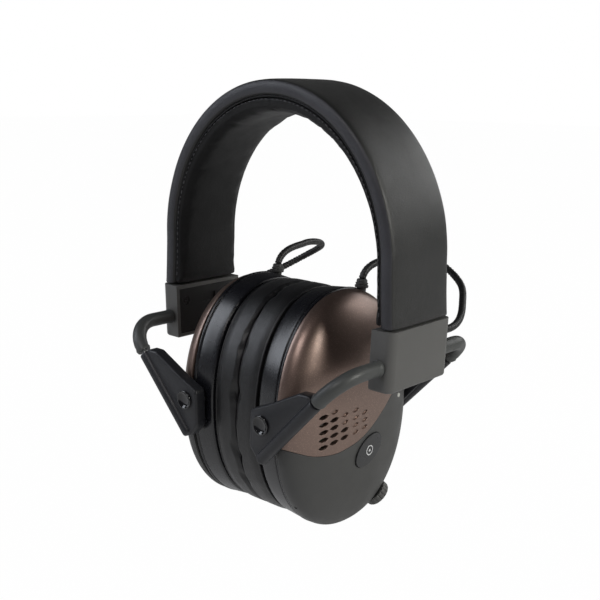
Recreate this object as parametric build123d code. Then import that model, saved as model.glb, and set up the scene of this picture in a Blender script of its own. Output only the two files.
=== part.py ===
from build123d import *
import math
import os

# Folding electronic ear defender, millimetres, +Z up.
# x = 0 is the plane where the two cushions meet, y = 0 the middle of the
# headband, z = 0 the height of the cup centres. +X is the right cup, -Y the
# front. Parts are built on the +X side; left-hand ones are mirrored copies.
# In the names, X0 and X1 are the faces nearer to and further from x = 0.

# ---- driving dimensions -------------------------------------------------
OVAL_EXP = 2.18                           # superellipse exponent of the oval cups
OVAL_POINTS = 40
CUSHION_HALF_Y, CUSHION_HALF_Z = 40.3, 54.0
CUSHION_X0, CUSHION_X1 = 0.3, 13.0
EAR_HALF_Y, EAR_HALF_Z = 23.5, 36.5       # ear opening
PLATE_X0, PLATE_X1 = 13.1, 14.5
TAB_Z = 46.0                              # snap tabs, above and below the centre
RING_X0, RING_X1 = 14.6, 27.1             # cup base ring
RING_HALF_Y, RING_HALF_Z = 41.2, 55.2
RING_WALL = 3.2
RING_FLOOR_X = RING_X0 + 2.3              # bosses start just inside the ring floor
DOME_X0 = 27.25                           # outer shell starts here
DOME_HALF_Y, DOME_HALF_Z, DOME_DEPTH = 42.3, 54.8, 15.7
DOME_EXP = 2.5                            # exponent of the dome profile
DOME_DRIFT = -2.5                         # the dome's centre drops towards the apex
DOME_ANGLES = (0, 12, 24, 36, 48, 59, 69, 77, 83)   # loft stations, degrees
SHELL_WALL = 2.2
SEAM = 0.12                               # half gap between shell panel and lower cover
CASE_SCREWS = [(22.5, 33.5), (-22.5, 33.5), (10.5, -43.4), (-10.5, -43.4)]   # y, z
PIVOT_X, PIVOT_Z = 24.35, 2.77            # cup pivot axis, along Y
PIN_R = 2.0
RUN = 0.05                                # radial running clearance
ARM_Y0, ARM_Y1 = 42.75, 48.2              # arm plate, inner and outer face
WIRE_R = 1.4
WIRE_Y = 47.0                             # wire centre line in the arm channels
WIRE_DX, WIRE_DZ = -0.690, -0.724         # wire direction, fold axis to cup
WIRE_LENGTH = 54.0                        # from the fold axis to the wire end
FOLD_X, FOLD_Z = 65.0, 30.6               # fold axis in the bracket, along Y
BEND_R = 14.0
SLEEVE_R = 3.3
BRACKET_TOP, BRACKET_BOTTOM = 46.2, 19.9
BRACKET_X0, BRACKET_X1 = 60.7, 71.7       # bracket faces at its top
BRACKET_LEAN = 0.041
BRACKET_HALF_Y = 21.2
BAND_HALF_Y = 20.4
BAND_HALF_X, BAND_RISE, BAND_Z0 = 69.5, 74.7, 71.4   # outer arch, springing at BAND_Z0
BAND_FLARE = 1.2                          # extra half width at the bracket top
BAND_COVER_T = 7.0
PAD_T = 3.9                               # pad's inner face, measured from the cover
PAD_CROWN = 3.5                           # the pad is this much thicker at the crown
CABLE_R = 1.65

os.makedirs("parts", exist_ok=True)


# ---- helpers ------------------------------------------------------------
def oval_wire(x, half_y, half_z, centre_z=0.0):
    points = []
    for i in range(OVAL_POINTS):
        angle = 2 * math.pi * i / OVAL_POINTS
        c, s = math.cos(angle), math.sin(angle)
        points.append(Vector(x, half_y * math.copysign(abs(c) ** (2 / OVAL_EXP), c),
                             centre_z + half_z * math.copysign(abs(s) ** (2 / OVAL_EXP), s)))
    return Wire([Edge.make_spline(points, periodic=True)])


def slab(x0, x1, half_y, half_z, centre_z=0.0):
    return Solid.extrude(Face(oval_wire(x0, half_y, half_z, centre_z)), Vector(x1 - x0, 0, 0))


def oval_loft(stations):
    return Solid.make_loft([oval_wire(*station) for station in stations])


def dome(offset):
    """Dome solid, offset outward."""
    stations = []
    for degrees in DOME_ANGLES:
        angle = math.radians(degrees)
        width, rise = math.cos(angle) ** (2 / DOME_EXP), math.sin(angle) ** (2 / DOME_EXP)
        stations.append((DOME_X0 + (DOME_DEPTH + offset) * rise, (DOME_HALF_Y + offset) * width,
                         (DOME_HALF_Z + offset) * width, DOME_DRIFT * rise))
    return oval_loft(stations)


def dome_x(y, z, offset=0.0):
    """X of the dome surface at (y, z); iterates because the centre drifts with the rise."""
    half_y, half_z = DOME_HALF_Y + offset, DOME_HALF_Z + offset
    rise = 0.9
    for _ in range(40):
        across, up = abs(y / half_y), abs((z - DOME_DRIFT * rise) / half_z)
        width = (across ** OVAL_EXP + up ** OVAL_EXP) ** (1 / OVAL_EXP)
        rise = max(0.0, 1 - width ** DOME_EXP) ** (1 / DOME_EXP)
    return DOME_X0 + (DOME_DEPTH + offset) * rise


def rod(base, direction, radius, length):
    plane = Plane(origin=base, z_dir=direction)
    return plane * Cylinder(radius, length, align=(Align.CENTER, Align.CENTER, Align.MIN))


def rod_x(x, y, z, radius, length):
    return rod((x, y, z), (1, 0, 0), radius, length)


def rod_y(x, y, z, radius, length):
    return rod((x, y, z), (0, 1, 0), radius, length)


def pivot_rod(side, y, radius, length):
    """Rod on the cup pivot axis, pointing outward; side is -1 front, 1 rear."""
    return rod((PIVOT_X, side * y, PIVOT_Z), (0, side, 0), radius, length)


def prism(points, travel):
    return Solid.extrude(Face(Wire.make_polygon(points, close=True)), travel)


def prism_xz(points, y0, y1):
    return prism([Vector(x, y0, z) for x, z in points], Vector(0, y1 - y0, 0))


def box(x0, x1, y0, y1, z0, z1):
    centre = Pos((x0 + x1) / 2, (y0 + y1) / 2, (z0 + z1) / 2)
    return centre * Box(abs(x1 - x0), abs(y1 - y0), abs(z1 - z0))


def tube(path, radius):
    return sweep(Plane(origin=path @ 0, z_dir=path % 0) * Circle(radius), path=path)


def meet(a, b):
    """Common volume of two solids, as one shape."""
    common = a.intersect(b)
    shapes = []
    for piece in (common if isinstance(common, (list, tuple)) else [common]):
        shapes += list(piece.solids())
    return shapes[0] if len(shapes) == 1 else Part(Compound(shapes).wrapped)


def flip(shape):
    return mirror(shape, about=Plane.YZ)


def front_back(shape):
    return mirror(shape, about=Plane.XZ)


def safe_fillet(shape, edges, radius):
    for scale in (1.0, 0.7, 0.45, 0.25):
        # Guards against a radius the kernel can't build: the next smaller one is tried.
        try:
            rounded = fillet(edges, radius * scale)
            if rounded.is_valid:
                return rounded
        except Exception:
            continue
    return shape


def write(name, *pieces):
    shapes = []
    for piece in pieces:
        shapes += list(piece.solids())
    whole = shapes[0] if len(shapes) == 1 else Compound(children=shapes)
    export_step(whole, f"parts/{name}.step")


def write_left(name, *pieces):
    write(name, *[flip(piece) for piece in pieces])


def write_pair(name, *pieces):
    write(name + "_right", *pieces)
    write_left(name + "_left", *pieces)


# ---- cushion and its plate ----------------------------------------------
cushion = slab(CUSHION_X0, CUSHION_X1, CUSHION_HALF_Y, CUSHION_HALF_Z)
cushion = safe_fillet(cushion, cushion.edges(), 4.2)
cushion = cushion - slab(CUSHION_X0 - 1, CUSHION_X1 + 1, EAR_HALF_Y, EAR_HALF_Z)
ear_edges = [e for e in cushion.edges()
             if abs(e.bounding_box().max.Z - EAR_HALF_Z) < 0.8 and e.bounding_box().size.X < 0.5]
cushion = safe_fillet(cushion, ear_edges, 3.0)
write_pair("ear_cushion", cushion)

# stiff plate the cushion is welded to, with two snap tabs into the ring
plate = slab(PLATE_X0, PLATE_X1, 38.4, 52.2) - slab(PLATE_X0 - 1, PLATE_X1 + 1, 25.0, 38.0)
for z in (TAB_Z, -TAB_Z):
    plate = plate + box(PLATE_X1 - 0.1, 17.4, -4, 4, z - 0.7, z + 0.7)
write_pair("cushion_plate", plate)

# ---- cup base ring ------------------------------------------------------
# x and inset of each loft station: the ring widens away from the head
RING_STATIONS = [(RING_X0, 0.9), ((RING_X0 + RING_X1) / 2, 0.35), (RING_X1, 0)]
SOCKET_X = 22.0
GROMMET_X = 26.5
GROMMET_DIR = (0.0, 0.10, 0.995)


def grommet_rod(y, z, radius, length):
    return rod((GROMMET_X, y, z), GROMMET_DIR, radius, length)


ring = oval_loft([(x, RING_HALF_Y - inset, RING_HALF_Z - inset) for x, inset in RING_STATIONS])
ring = ring - slab(RING_X0 + 2.2, RING_X1 + 1, RING_HALF_Y - RING_WALL, RING_HALF_Z - RING_WALL)
ring = ring - slab(RING_X0 - 1, RING_X0 + 3, 27.0, 40.5)
for side in (-1, 1):
    ring = ring + meet(pivot_rod(side, 35.6, 5.2, 6.9),
                       box(RING_FLOOR_X, RING_X1, -50, 50, PIVOT_Z - 8, PIVOT_Z + 8))
    ring = ring - pivot_rod(side, 30, PIN_R + RUN, 20)
for y, z in CASE_SCREWS:
    ring = ring - rod_x(RING_X0 - 1, y, z, 1.4, 6)
    ring = ring - rod_x(RING_X0 - 1, y, z, 2.6, 2.25)
for z in (TAB_Z, -TAB_Z):
    ring = ring - box(RING_X0 - 1, RING_X0 + 4, -4.3, 4.3, z - 0.95, z + 0.95)

# grommet seat on the top rear of the cup, shared by ring and shell
grommet_seat = grommet_rod(13.9, 44.0, 2.25, 14)
ring = ring - grommet_seat
write("cup_ring_right", ring)
ring_left = ring - rod((SOCKET_X, 0, -45), (0, 0, -1), 2.95, 20)
write_left("cup_ring_left", ring_left)

# ---- outer shell --------------------------------------------------------
# the thin slab trims the base so that it is flat
skin = dome(0) - dome(-SHELL_WALL) - slab(DOME_X0 - 1, DOME_X0 + 0.001, 60, 70)
# screw bosses reach back from the shell to the ring
bosses = [rod_x(RING_FLOOR_X, y, z, 2.7, 30) for y, z in CASE_SCREWS]
posts = bosses[0]
for boss in bosses[1:]:
    posts = posts + boss
posts = meet(posts, dome(-SHELL_WALL + 0.4) + slab(RING_FLOOR_X, DOME_X0 + 0.5, 36, 50))
skin = skin + posts
for y, z in CASE_SCREWS:
    skin = skin - rod_x(RING_X0 + 2.0, y, z, 1.2, 13)
skin = skin - grommet_seat

# seam line between shell panel (above) and lower cover (below): y, z
SWOOSH = [
    (-60, -5.0), (-50, -6.3), (-41.2, -8.6), (-33.2, -11.7), (-27.3, -13.0), (-19, -13.6),
    (-9.5, -12.3), (-2.5, -10.4), (4.4, -6.9), (10.7, -2.6), (16.3, 1.6), (19.9, 4.4),
    (30, 12.0), (41, 20.5), (50, 27), (60, 34),
]


def seam_side(shift, far_z):
    """Block between the shifted seam line and the height far_z."""
    points = [Vector(10, y, z + shift) for y, z in SWOOSH]
    rear, front = Vector(10, 60, far_z), Vector(10, -60, far_z)
    outline = Wire([Edge.make_spline(points), Edge.make_line(points[-1], rear),
                    Edge.make_line(rear, front), Edge.make_line(front, points[0])])
    return Solid.extrude(Face(outline), Vector(50, 0, 0))


panel = meet(skin, seam_side(SEAM, 90))
cover = meet(skin, seam_side(-SEAM, -90))

# grille in the panel: slanted lozenges in sheared rows, y and z of the centres
GRILLE_OPEN = [
    (-26.6, 4.7), (-26.6, 1.3), (-26.6, -2.2), (-26.6, -5.6), (-26.6, -9.1),
    (-20.8, 2.4), (-20.8, -1.1), (-20.8, -4.6), (-20.8, -8.0), (-14.6, -3.6), (-14.6, -7.1),
]
GRILLE_BLIND = [
    (-20.8, 5.9), (-14.6, 3.3), (-14.6, -0.1), (-7.6, 3.9), (-7.6, 0.4), (-7.6, -3.0),
    (-7.6, -6.4), (-1.4, 1.4), (-1.4, -2.1), (-1.4, -5.6),
]
# lozenge corners about its centre: y, z
LOZENGE = [(-2.75, -0.35), (-1.2, 0.75), (0.9, 1.15), (2.75, 0.45), (1.3, -0.75), (-0.8, -1.1)]


def lozenge(y, z, x0, scale=1.0):
    corners = [Vector(x0, y + scale * dy, z + scale * dz) for dy, dz in LOZENGE]
    return prism(corners, Vector(50 - x0, 0, 0))


for y, z in GRILLE_OPEN:
    panel = panel - lozenge(y, z, 30)
for y, z in GRILLE_BLIND:
    panel = panel - lozenge(y, z, dome_x(y, z) - 0.7, 0.9)
write_pair("shell_panel", panel)

# ---- volume knob and control, on the lower rear edge of the right cup ----
KNOB_POINT = (31.5, 22.8, -47.3)
KNOB_DIR = (0.408, 0.577, -0.707)
KNOB_BASE, KNOB_HEIGHT = -0.65, 4.3       # base measured outward from KNOB_POINT
GROOVES = 16


def knob_at(distance):
    """Point on the knob axis, this far outward from KNOB_POINT."""
    size = math.sqrt(sum(c * c for c in KNOB_DIR))
    return tuple(p + c / size * distance for p, c in zip(KNOB_POINT, KNOB_DIR))


def knob_rod(distance, radius, length):
    return rod(knob_at(distance), KNOB_DIR, radius, length)


knob = knob_rod(KNOB_BASE, 6.5, KNOB_HEIGHT)
knob_top = knob.faces().sort_by_distance(knob_at(KNOB_BASE + KNOB_HEIGHT))[0]
knob = safe_fillet(knob, knob_top.edges(), 1.6)
for i in range(GROOVES):
    angle = 2 * math.pi * i / GROOVES
    groove_at = (6.75 * math.cos(angle), 6.75 * math.sin(angle), 0)
    knob = knob - Plane(origin=knob_at(-1), z_dir=KNOB_DIR) * Pos(*groove_at) * Cylinder(
        0.45, 3.4, align=(Align.CENTER, Align.CENTER, Align.MIN))
knob = knob + knob_rod(-7.2, 1.5, 7.0)
write("volume_knob", knob)
write("volume_control", knob_rod(-9.8, 3.5, 4.2) - knob_rod(-7.4, 1.56, 6))

# ---- mode button and status light ---------------------------------------
BUTTON_Y, BUTTON_Z = 2.6, -17.6
BUTTON_LONG, BUTTON_SHORT = 9.8, 6.3      # ellipse half sizes
BUTTON_TILT = math.radians(28.0)
BUTTON_BACK = -SHELL_WALL - 1.0           # dome offset of the button's back
LIGHT_Y, LIGHT_Z, LIGHT_X0 = 27.2, 2.2, 36.9


def button_prism(margin):
    plane = Plane(origin=(30, BUTTON_Y, BUTTON_Z),
                  x_dir=(0, math.cos(BUTTON_TILT), math.sin(BUTTON_TILT)), z_dir=(1, 0, 0))
    return extrude(plane * Ellipse(BUTTON_LONG + margin, BUTTON_SHORT + margin), amount=20)


button = meet(button_prism(0), dome(0.7) - dome(BUTTON_BACK))
# flange behind the shell skin
button = button + meet(button_prism(0.9), dome(-SHELL_WALL - 0.15) - dome(BUTTON_BACK))
write("mode_button", button)
light_length = dome_x(LIGHT_Y, LIGHT_Z) - LIGHT_X0 + 0.15
write("status_light", rod_x(LIGHT_X0, LIGHT_Y, LIGHT_Z, 1.0, light_length))

# ---- lower covers -------------------------------------------------------
# small vent hole low on the front of the shell
vent = rod((29.6, -36.5, -42.0), (0, 0.82, 0.57), 0.8, 8)

cover_right = cover - knob_rod(-6, 1.75, 12)
cover_right = cover_right - knob_rod(-0.9, 7.0, 8)
cover_right = cover_right - button_prism(0.18)
cover_right = cover_right - vent
cover_right = cover_right - rod_x(30, LIGHT_Y, LIGHT_Z, 1.06, 20)
write("lower_cover_right", cover_right)

# the left cover has a battery door, hinged along its lower edge
DOOR_HALF_Y = 22.5
DOOR_TOP, DOOR_BOTTOM = -15.6, -37.4
HINGE_X, HINGE_Z = 41.35, -38.0
HINGE_PIN_R, KNUCKLE_R = 0.8, 1.45
KNUCKLE_HALF, LUG_Y0, LUG_Y1 = 5.8, 6.0, 9.4   # the pin ends flush with the lugs


def hinge_rod(radius, half_length):
    return rod_y(HINGE_X, -half_length, HINGE_Z, radius, 2 * half_length)


pin_hole = hinge_rod(HINGE_PIN_R + RUN, 12)
door = meet(dome(0) - dome(-1.7),
            box(25, 50, -DOOR_HALF_Y, DOOR_HALF_Y, DOOR_BOTTOM, DOOR_TOP))
knuckle = hinge_rod(KNUCKLE_R, KNUCKLE_HALF) + box(
    HINGE_X - 3.4, HINGE_X, -KNUCKLE_HALF, KNUCKLE_HALF, HINGE_Z + 0.5, HINGE_Z + 1.4)
door = door - hinge_rod(1.9, 9.9) + knuckle - pin_hole
write_left("battery_door", door)
write_left("door_hinge_pin", hinge_rod(HINGE_PIN_R, LUG_Y1))

cover_left = cover - vent
cover_left = cover_left - box(25, 50, -DOOR_HALF_Y - 0.35, DOOR_HALF_Y + 0.35,
                              DOOR_BOTTOM - 0.35, DOOR_TOP + 0.4)
for side in (-1, 1):
    lug = rod((HINGE_X, side * LUG_Y0, HINGE_Z), (0, side, 0), KNUCKLE_R, LUG_Y1 - LUG_Y0)
    lug = lug + box(HINGE_X - 2.6, HINGE_X + 0.2, side * LUG_Y0, side * LUG_Y1,
                    HINGE_Z - KNUCKLE_R, HINGE_Z - 0.1)
    cover_left = cover_left + lug
cover_left = cover_left - pin_hole
cover_left = cover_left - hinge_rod(1.85, 5.95)
write_left("lower_cover_left", cover_left)


# ---- audio socket, at the bottom of the left cup ring --------------------
def socket_rod(z, radius, length):
    return rod((SOCKET_X, 0, z), (0, 0, 1), radius, length)


socket = socket_rod(-54.9, 2.9, 4.0) + socket_rod(-51.0, 3.4, 9.0)
write_left("audio_socket", socket - socket_rod(-56, 1.8, 13.0))

# ---- batteries, tray and contacts behind the door -----------------------
BATTERY_X, BATTERY_ZS = 31.3, (-20.6, -31.4)
BATTERY_R, BATTERY_LENGTH = 5.25, 44.5
NUB_R, NUB_LENGTH = 1.9, 1.0              # raised end of each cell

batteries = []
contacts = []
for z in BATTERY_ZS:
    batteries.append(
        rod_y(BATTERY_X, -BATTERY_LENGTH / 2, z, BATTERY_R, BATTERY_LENGTH - NUB_LENGTH)
        + rod_y(BATTERY_X, BATTERY_LENGTH / 2 - NUB_LENGTH, z, NUB_R, NUB_LENGTH))
    for side in (-1, 1):
        contacts.append(box(28.0, 32.0, side * 22.35, side * 22.85, z - 3.0, z + 3.0))
tray = box(24.7, 25.9, -24.2, 24.2, -37.2, -14.9)
for side in (-1, 1):
    tray = tray + box(25.8, 32.2, side * 23.0, side * 24.2, -36.2, -15.5)
write_left("batteries", *batteries)
write_left("battery_tray", tray)
write_left("battery_contacts", *contacts)


# ---- inside the cups ----------------------------------------------------
def clear_screws(body, radius, length):
    for y, z in CASE_SCREWS:
        body = body - rod_x(10, y, z, radius, length)
    return body


def clear_pivots(body):
    for side in (-1, 1):
        body = body - box(10, 30, side * 28.5, side * 40, PIVOT_Z - 7, PIVOT_Z + 7)
    return body


baffle = slab(RING_X0 + 2.35, RING_X0 + 3.85, 34.0, 47.5) - rod_x(10, 0, 0, 14.6, 20)
baffle = clear_screws(baffle, 3.3, 20)
for z in (TAB_Z, -TAB_Z):
    baffle = baffle - box(10, 30, -5.0, 5.0, z - 2.0, z + 2.0)
write_pair("speaker_baffle", clear_pivots(baffle))

# half section of the speaker: x, radius
SPEAKER_PROFILE = [
    (17.9, 0), (16.9, 5), (17.4, 9), (16.4, 13.2), (16.7, 14.3), (18.55, 14.3),
    (18.55, 16.5), (19.9, 16.5), (19.9, 11.0), (24.1, 11.0), (24.1, 0),
]
speaker_outline = Wire.make_polygon([Vector(x, r, 0) for x, r in SPEAKER_PROFILE], close=True)
write_pair("speaker", revolve(Face(speaker_outline), axis=Axis.X))

foam = slab(18.6, 24.3, 32.5, 46.0) - rod_x(10, 0, 0, 17.0, 30)
foam = clear_screws(foam, 3.5, 30)
foam = foam - socket_rod(-60, 4.2, 19)
write_pair("foam_liner", clear_pivots(foam))

# slotted head, then shank
case_screws = [rod_x(14.75, y, z, 2.35, 1.0)
               - box(14.7, 15.2, y - 1.6, y + 1.6, z - 0.3, z + 0.3)
               + rod_x(15.7, y, z, 1.15, 8.3) for y, z in CASE_SCREWS]
write_pair("case_screws", *case_screws)

MIC_Y, MIC_Z = -20.6, -2.2
mic = rod_x(33.2, MIC_Y, MIC_Z, 4.2, 3.6) - rod_x(35.6, MIC_Y, MIC_Z, 3.2, 3)
write_pair("microphone", mic)

BOARD_X0, BOARD_X1 = 28.6, 30.2
# components on the board: y0, y1, z0, z1, height
COMPONENTS = [(-10, -2, 8, 18, 1.6), (4, 14, 6, 14, 1.2), (-16, -6, -24, -14, 2.4),
              (6, 9, 20, 26, 3.0)]
board = clear_screws(slab(BOARD_X0, BOARD_X1, 27.0, 36.0, -2.0), 3.6, 40)
board = board - knob_rod(-16, 5.4, 20)
for y0, y1, z0, z1, height in COMPONENTS:
    board = board + box(BOARD_X1 - 0.1, BOARD_X1 + height, y0, y1, z0, z1)
write("circuit_board", board)

switch_x = BOARD_X1 + 0.05
stem_x = switch_x + 3.1
stem_length = dome_x(BUTTON_Y, BUTTON_Z, BUTTON_BACK) - stem_x - 0.95
switch = box(switch_x, switch_x + 3.2, BUTTON_Y - 3, BUTTON_Y + 3, BUTTON_Z - 3, BUTTON_Z + 3)
write("button_switch", switch + rod_x(stem_x, BUTTON_Y, BUTTON_Z, 1.7, stem_length))

# ---- grommets and cables ------------------------------------------------
grommet = grommet_rod(14.25, 47.6, 2.2, 5.2) + grommet_rod(14.85, 53.6, 3.1, 3.5)
grommet = grommet + grommet_rod(14.7, 52.0, 2.2, 2.0) - grommet_rod(13.9, 40.0, 1.1, 30)
write_pair("cable_grommet", grommet)

CABLE_END_X, CABLE_END_Z = 68.6, 40.0     # where the cable enters the bracket, along Y
# corners of the cable, cup to bracket: x, y, z
CABLE_POINTS = [
    (GROMMET_X, 15.3, 57.6), (27.4, 19.6, 69.0), (35.2, 66.5, 63.2), (51.5, 63.0, 51.5),
    (CABLE_END_X, 35.0, CABLE_END_Z), (CABLE_END_X, 17.2, CABLE_END_Z),
]
write_pair("link_cable", tube(FilletPolyline(*CABLE_POINTS, radius=8.5), CABLE_R))

# ---- pivot pins, arms, yoke wire ----------------------------------------
pin = pivot_rod(-1, 34.6, PIN_R, 13.7) + pivot_rod(-1, 48.25, 4.4, 1.1)
pin = pin + pivot_rod(-1, 34.2, 3.2, 1.25)
pin = pin - pivot_rod(-1, 48.85, 3.3, 2)
pin = safe_fillet(pin, [e for e in pin.edges() if e.center().Y < -49.2], 0.3)
write_pair("pivot_pins", pin, front_back(pin))

# arm plate corners: x, z
ARM_OUTLINE = [(53.6, 17.9), (50.4, 21.4), (45.0, 21.4), (27.4, 12.6),
               (17.2, 8.2), (16.6, -8.5), (21.8, -14.2), (24.6, -14.4)]


def wire_at(distance, y=-WIRE_Y):
    """Point on a straight leg of the wire, this far from the fold axis."""
    return (FOLD_X + WIRE_DX * distance, y, FOLD_Z + WIRE_DZ * distance)


def leg_rod(start, radius, end):
    return rod(wire_at(start), (WIRE_DX, 0, WIRE_DZ), radius, end - start)


arm = prism_xz(ARM_OUTLINE, -ARM_Y1, -ARM_Y0)
arm = safe_fillet(arm, arm.edges().filter_by(Axis.Y), 1.6)
arm = arm + meet(leg_rod(16.6, 2.9, 61.2), box(0, 80, -60, -ARM_Y0, -40, 60))
arm = arm - leg_rod(10, WIRE_R + RUN, WIRE_LENGTH + 4.5)
arm = arm - pivot_rod(-1, 30, PIN_R + RUN, 30)
write_pair("arm_front", arm)
write_pair("arm_rear", front_back(arm))

wire_path = FilletPolyline(wire_at(WIRE_LENGTH), wire_at(0), wire_at(0, WIRE_Y),
                           wire_at(WIRE_LENGTH, WIRE_Y), radius=BEND_R)
write_pair("yoke_wire", tube(wire_path, WIRE_R))

sleeve_path = FilletPolyline(wire_at(0, -BRACKET_HALF_Y - 0.25), wire_at(0), wire_at(15.2),
                             radius=BEND_R)
sleeve = tube(sleeve_path, SLEEVE_R) - tube(sleeve_path, WIRE_R + RUN)
write_pair("elbow_sleeves", sleeve, front_back(sleeve))

# ---- brackets at the band ends ------------------------------------------
RECESS_TOP, RECESS_BOTTOM, RECESS_HALF_Y = 44.4, 22.0, 19.4
LID_GAP = 0.15
BRACKET_SCREWS = [(-15.2, 38.4), (17.3, 38.4)]   # y, z


def inner_face_x(z):
    return BRACKET_X0 - BRACKET_LEAN * (BRACKET_TOP - z)


def leaning_slab(depth0, depth1, top, bottom, half_y):
    """Slab between two depths below the leaning inner face."""
    top_x, bottom_x = inner_face_x(top), inner_face_x(bottom)
    return prism_xz([(top_x + depth0, top), (top_x + depth1, top),
                     (bottom_x + depth1, bottom), (bottom_x + depth0, bottom)], -half_y, half_y)


block = leaning_slab(0, BRACKET_X1 - BRACKET_X0, BRACKET_TOP, BRACKET_BOTTOM, BRACKET_HALF_Y)
corner_edges = [e for e in block.edges() if e.center().X > 69 and abs(e.center().Y) > 20
                and e.bounding_box().size.Z > 10]
block = safe_fillet(block, corner_edges, 3.6)
bottom_edges = [e for e in block.edges() if e.center().Z < BRACKET_BOTTOM + 0.2
                and e.bounding_box().size.Y > 20]
block = safe_fillet(block, bottom_edges, 1.5)

bracket = block - leaning_slab(-1, 2.1, RECESS_TOP, RECESS_BOTTOM, RECESS_HALF_Y)
bracket = bracket - box(60, 69.2, -11.0, 15.2, 24.5, 43.6)
# slots in the top for the band spring and the band cable
bracket = bracket - box(66.3, 68.9, -9.4, 9.4, 43, 47) - box(66.3, 68.9, 11.7, 14.9, 43, 47)
bracket = bracket - rod_y(FOLD_X, -30, FOLD_Z, WIRE_R + RUN, 60)
bracket = bracket - rod_y(CABLE_END_X, 14, CABLE_END_Z, CABLE_R + 0.1, 10)
lid = leaning_slab(0.1, 2.0, RECESS_TOP - LID_GAP, RECESS_BOTTOM + LID_GAP,
                   RECESS_HALF_Y - LID_GAP)
bracket_screws = []
for y, z in BRACKET_SCREWS:
    x = inner_face_x(z)
    bracket = bracket - rod_x(x, y, z, 1.2, 6.3)
    lid = lid - rod_x(x - 1, y, z, 1.3, 6) - rod_x(x - 1, y, z, 2.2, 2.3)
    bracket_screws.append(rod_x(x + 0.35, y, z, 2.0, 0.9)
                          - box(x, x + 0.75, y - 1.4, y + 1.4, z - 0.25, z + 0.25)
                          + rod_x(x + 1.2, y, z, 1.15, 4.8))
lid = lid - box(59, inner_face_x(38) + 0.9, -4.5, 4.5, 36.0, 40.4)
write_pair("bracket_shell", bracket)
write_pair("bracket_cover", lid)
write_pair("bracket_screws", *bracket_screws)


# ---- headband -----------------------------------------------------------
def outer_x(z):
    """Outer face of the band below the springing height."""
    if z >= BRACKET_TOP:
        drop = (BAND_Z0 - z) / (BAND_Z0 - BRACKET_TOP)
        return BAND_HALF_X + BAND_FLARE * drop ** 1.4
    return BAND_HALF_X + BAND_FLARE - BRACKET_LEAN * (BRACKET_TOP - z)


def arch(inset, end_z, y, crown=0.0):
    """Points from the right end to the left, inset from the outer face, more at the crown."""
    half = []
    for i in range(5):
        z = end_z + (BAND_Z0 - end_z) * i / 5
        half.append((outer_x(z) - inset, z))
    for i in range(13):
        angle = math.pi / 2 * i / 12
        c, s = math.cos(angle), math.sin(angle)
        normal_x, normal_z = c / BAND_HALF_X, s / BAND_RISE
        step = (inset + crown * s ** 1.2) / math.hypot(normal_x, normal_z)
        half.append((BAND_HALF_X * c - step * normal_x,
                     BAND_Z0 + BAND_RISE * s - step * normal_z))
    full = half + [(-x, z) for x, z in reversed(half[:-1])]
    return [Vector(x, y, z) for x, z in full]


def strip(inset0, inset1, y0, y1, end_z, crown=0.0):
    outer = arch(inset0, end_z, y0)
    inner = arch(inset1, end_z, y0, crown)
    outline = Wire([Edge.make_spline(outer), Edge.make_line(outer[-1], inner[-1]),
                    Edge.make_spline(inner[::-1]), Edge.make_line(inner[0], outer[0])])
    return Solid.extrude(Face(outline), Vector(0, y1 - y0, 0))


def long_edges(shape):
    return [e for e in shape.edges() if e.length > 200]


band = strip(0, BAND_COVER_T, -BAND_HALF_Y, BAND_HALF_Y, BRACKET_TOP + 0.5)
band = safe_fillet(band, long_edges(band), 1.4)
# channels for the spring and the cable
band = (band - strip(2.5, 3.9, -9.3, 9.3, BRACKET_TOP - 4)
        - strip(2.4, 4.2, 11.8, 14.6, BRACKET_TOP - 4))
write("band_cover", band)

pad = strip(BAND_COVER_T + 0.1, BAND_COVER_T + PAD_T, -BAND_HALF_Y + 1.0, BAND_HALF_Y - 1.0,
            BRACKET_TOP + 1.3, PAD_CROWN)
# the two shortest long edges are those of the inner face
pad = safe_fillet(pad, sorted(long_edges(pad), key=lambda e: e.length)[:2], 2.2)
write("band_pad", pad)
write("band_spring", strip(2.6, 3.8, -9.0, 9.0, 34.0))
write("band_cable", strip(2.6, 4.0, 12.0, 14.4, 36.0))
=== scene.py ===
# Over-ear headphones, upright, with the two ear cushions pressed together at x = 0.
# +x is the right-hand cup's side, -y is the front, +z is up. The cups are ovals centred on
# y = z = 0, domed outwards, and the headband arches over them, its crown at z = 146 mm.
# Sizes are in millimetres unless a comment says metres. Parts are drawn on the right
# (+x) and mirrored to the left.
import math
from itertools import accumulate

import bmesh
import bpy
import numpy as np
from mathutils import Matrix, Vector


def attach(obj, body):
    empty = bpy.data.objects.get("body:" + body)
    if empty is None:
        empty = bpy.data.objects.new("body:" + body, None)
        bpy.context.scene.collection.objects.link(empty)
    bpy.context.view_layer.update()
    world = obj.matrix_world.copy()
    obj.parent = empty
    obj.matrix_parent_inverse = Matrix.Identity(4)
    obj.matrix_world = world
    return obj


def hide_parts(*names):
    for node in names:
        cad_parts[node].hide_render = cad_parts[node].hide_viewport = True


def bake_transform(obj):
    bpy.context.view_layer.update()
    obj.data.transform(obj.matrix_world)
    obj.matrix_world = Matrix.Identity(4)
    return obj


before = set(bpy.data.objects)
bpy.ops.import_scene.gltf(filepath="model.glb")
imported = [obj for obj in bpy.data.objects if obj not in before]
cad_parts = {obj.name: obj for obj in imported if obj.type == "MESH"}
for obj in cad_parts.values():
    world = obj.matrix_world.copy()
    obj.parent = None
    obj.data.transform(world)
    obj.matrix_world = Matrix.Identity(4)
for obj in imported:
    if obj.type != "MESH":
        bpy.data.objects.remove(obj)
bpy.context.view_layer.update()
MM = 0.001
SCENE = bpy.context.scene
SIDES = (("_right", 1), ("_left", -1))
OUT = (1, 0, 0)
FRONT = (0, -1, 0)
BACK = (0, 1, 0)

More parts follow.
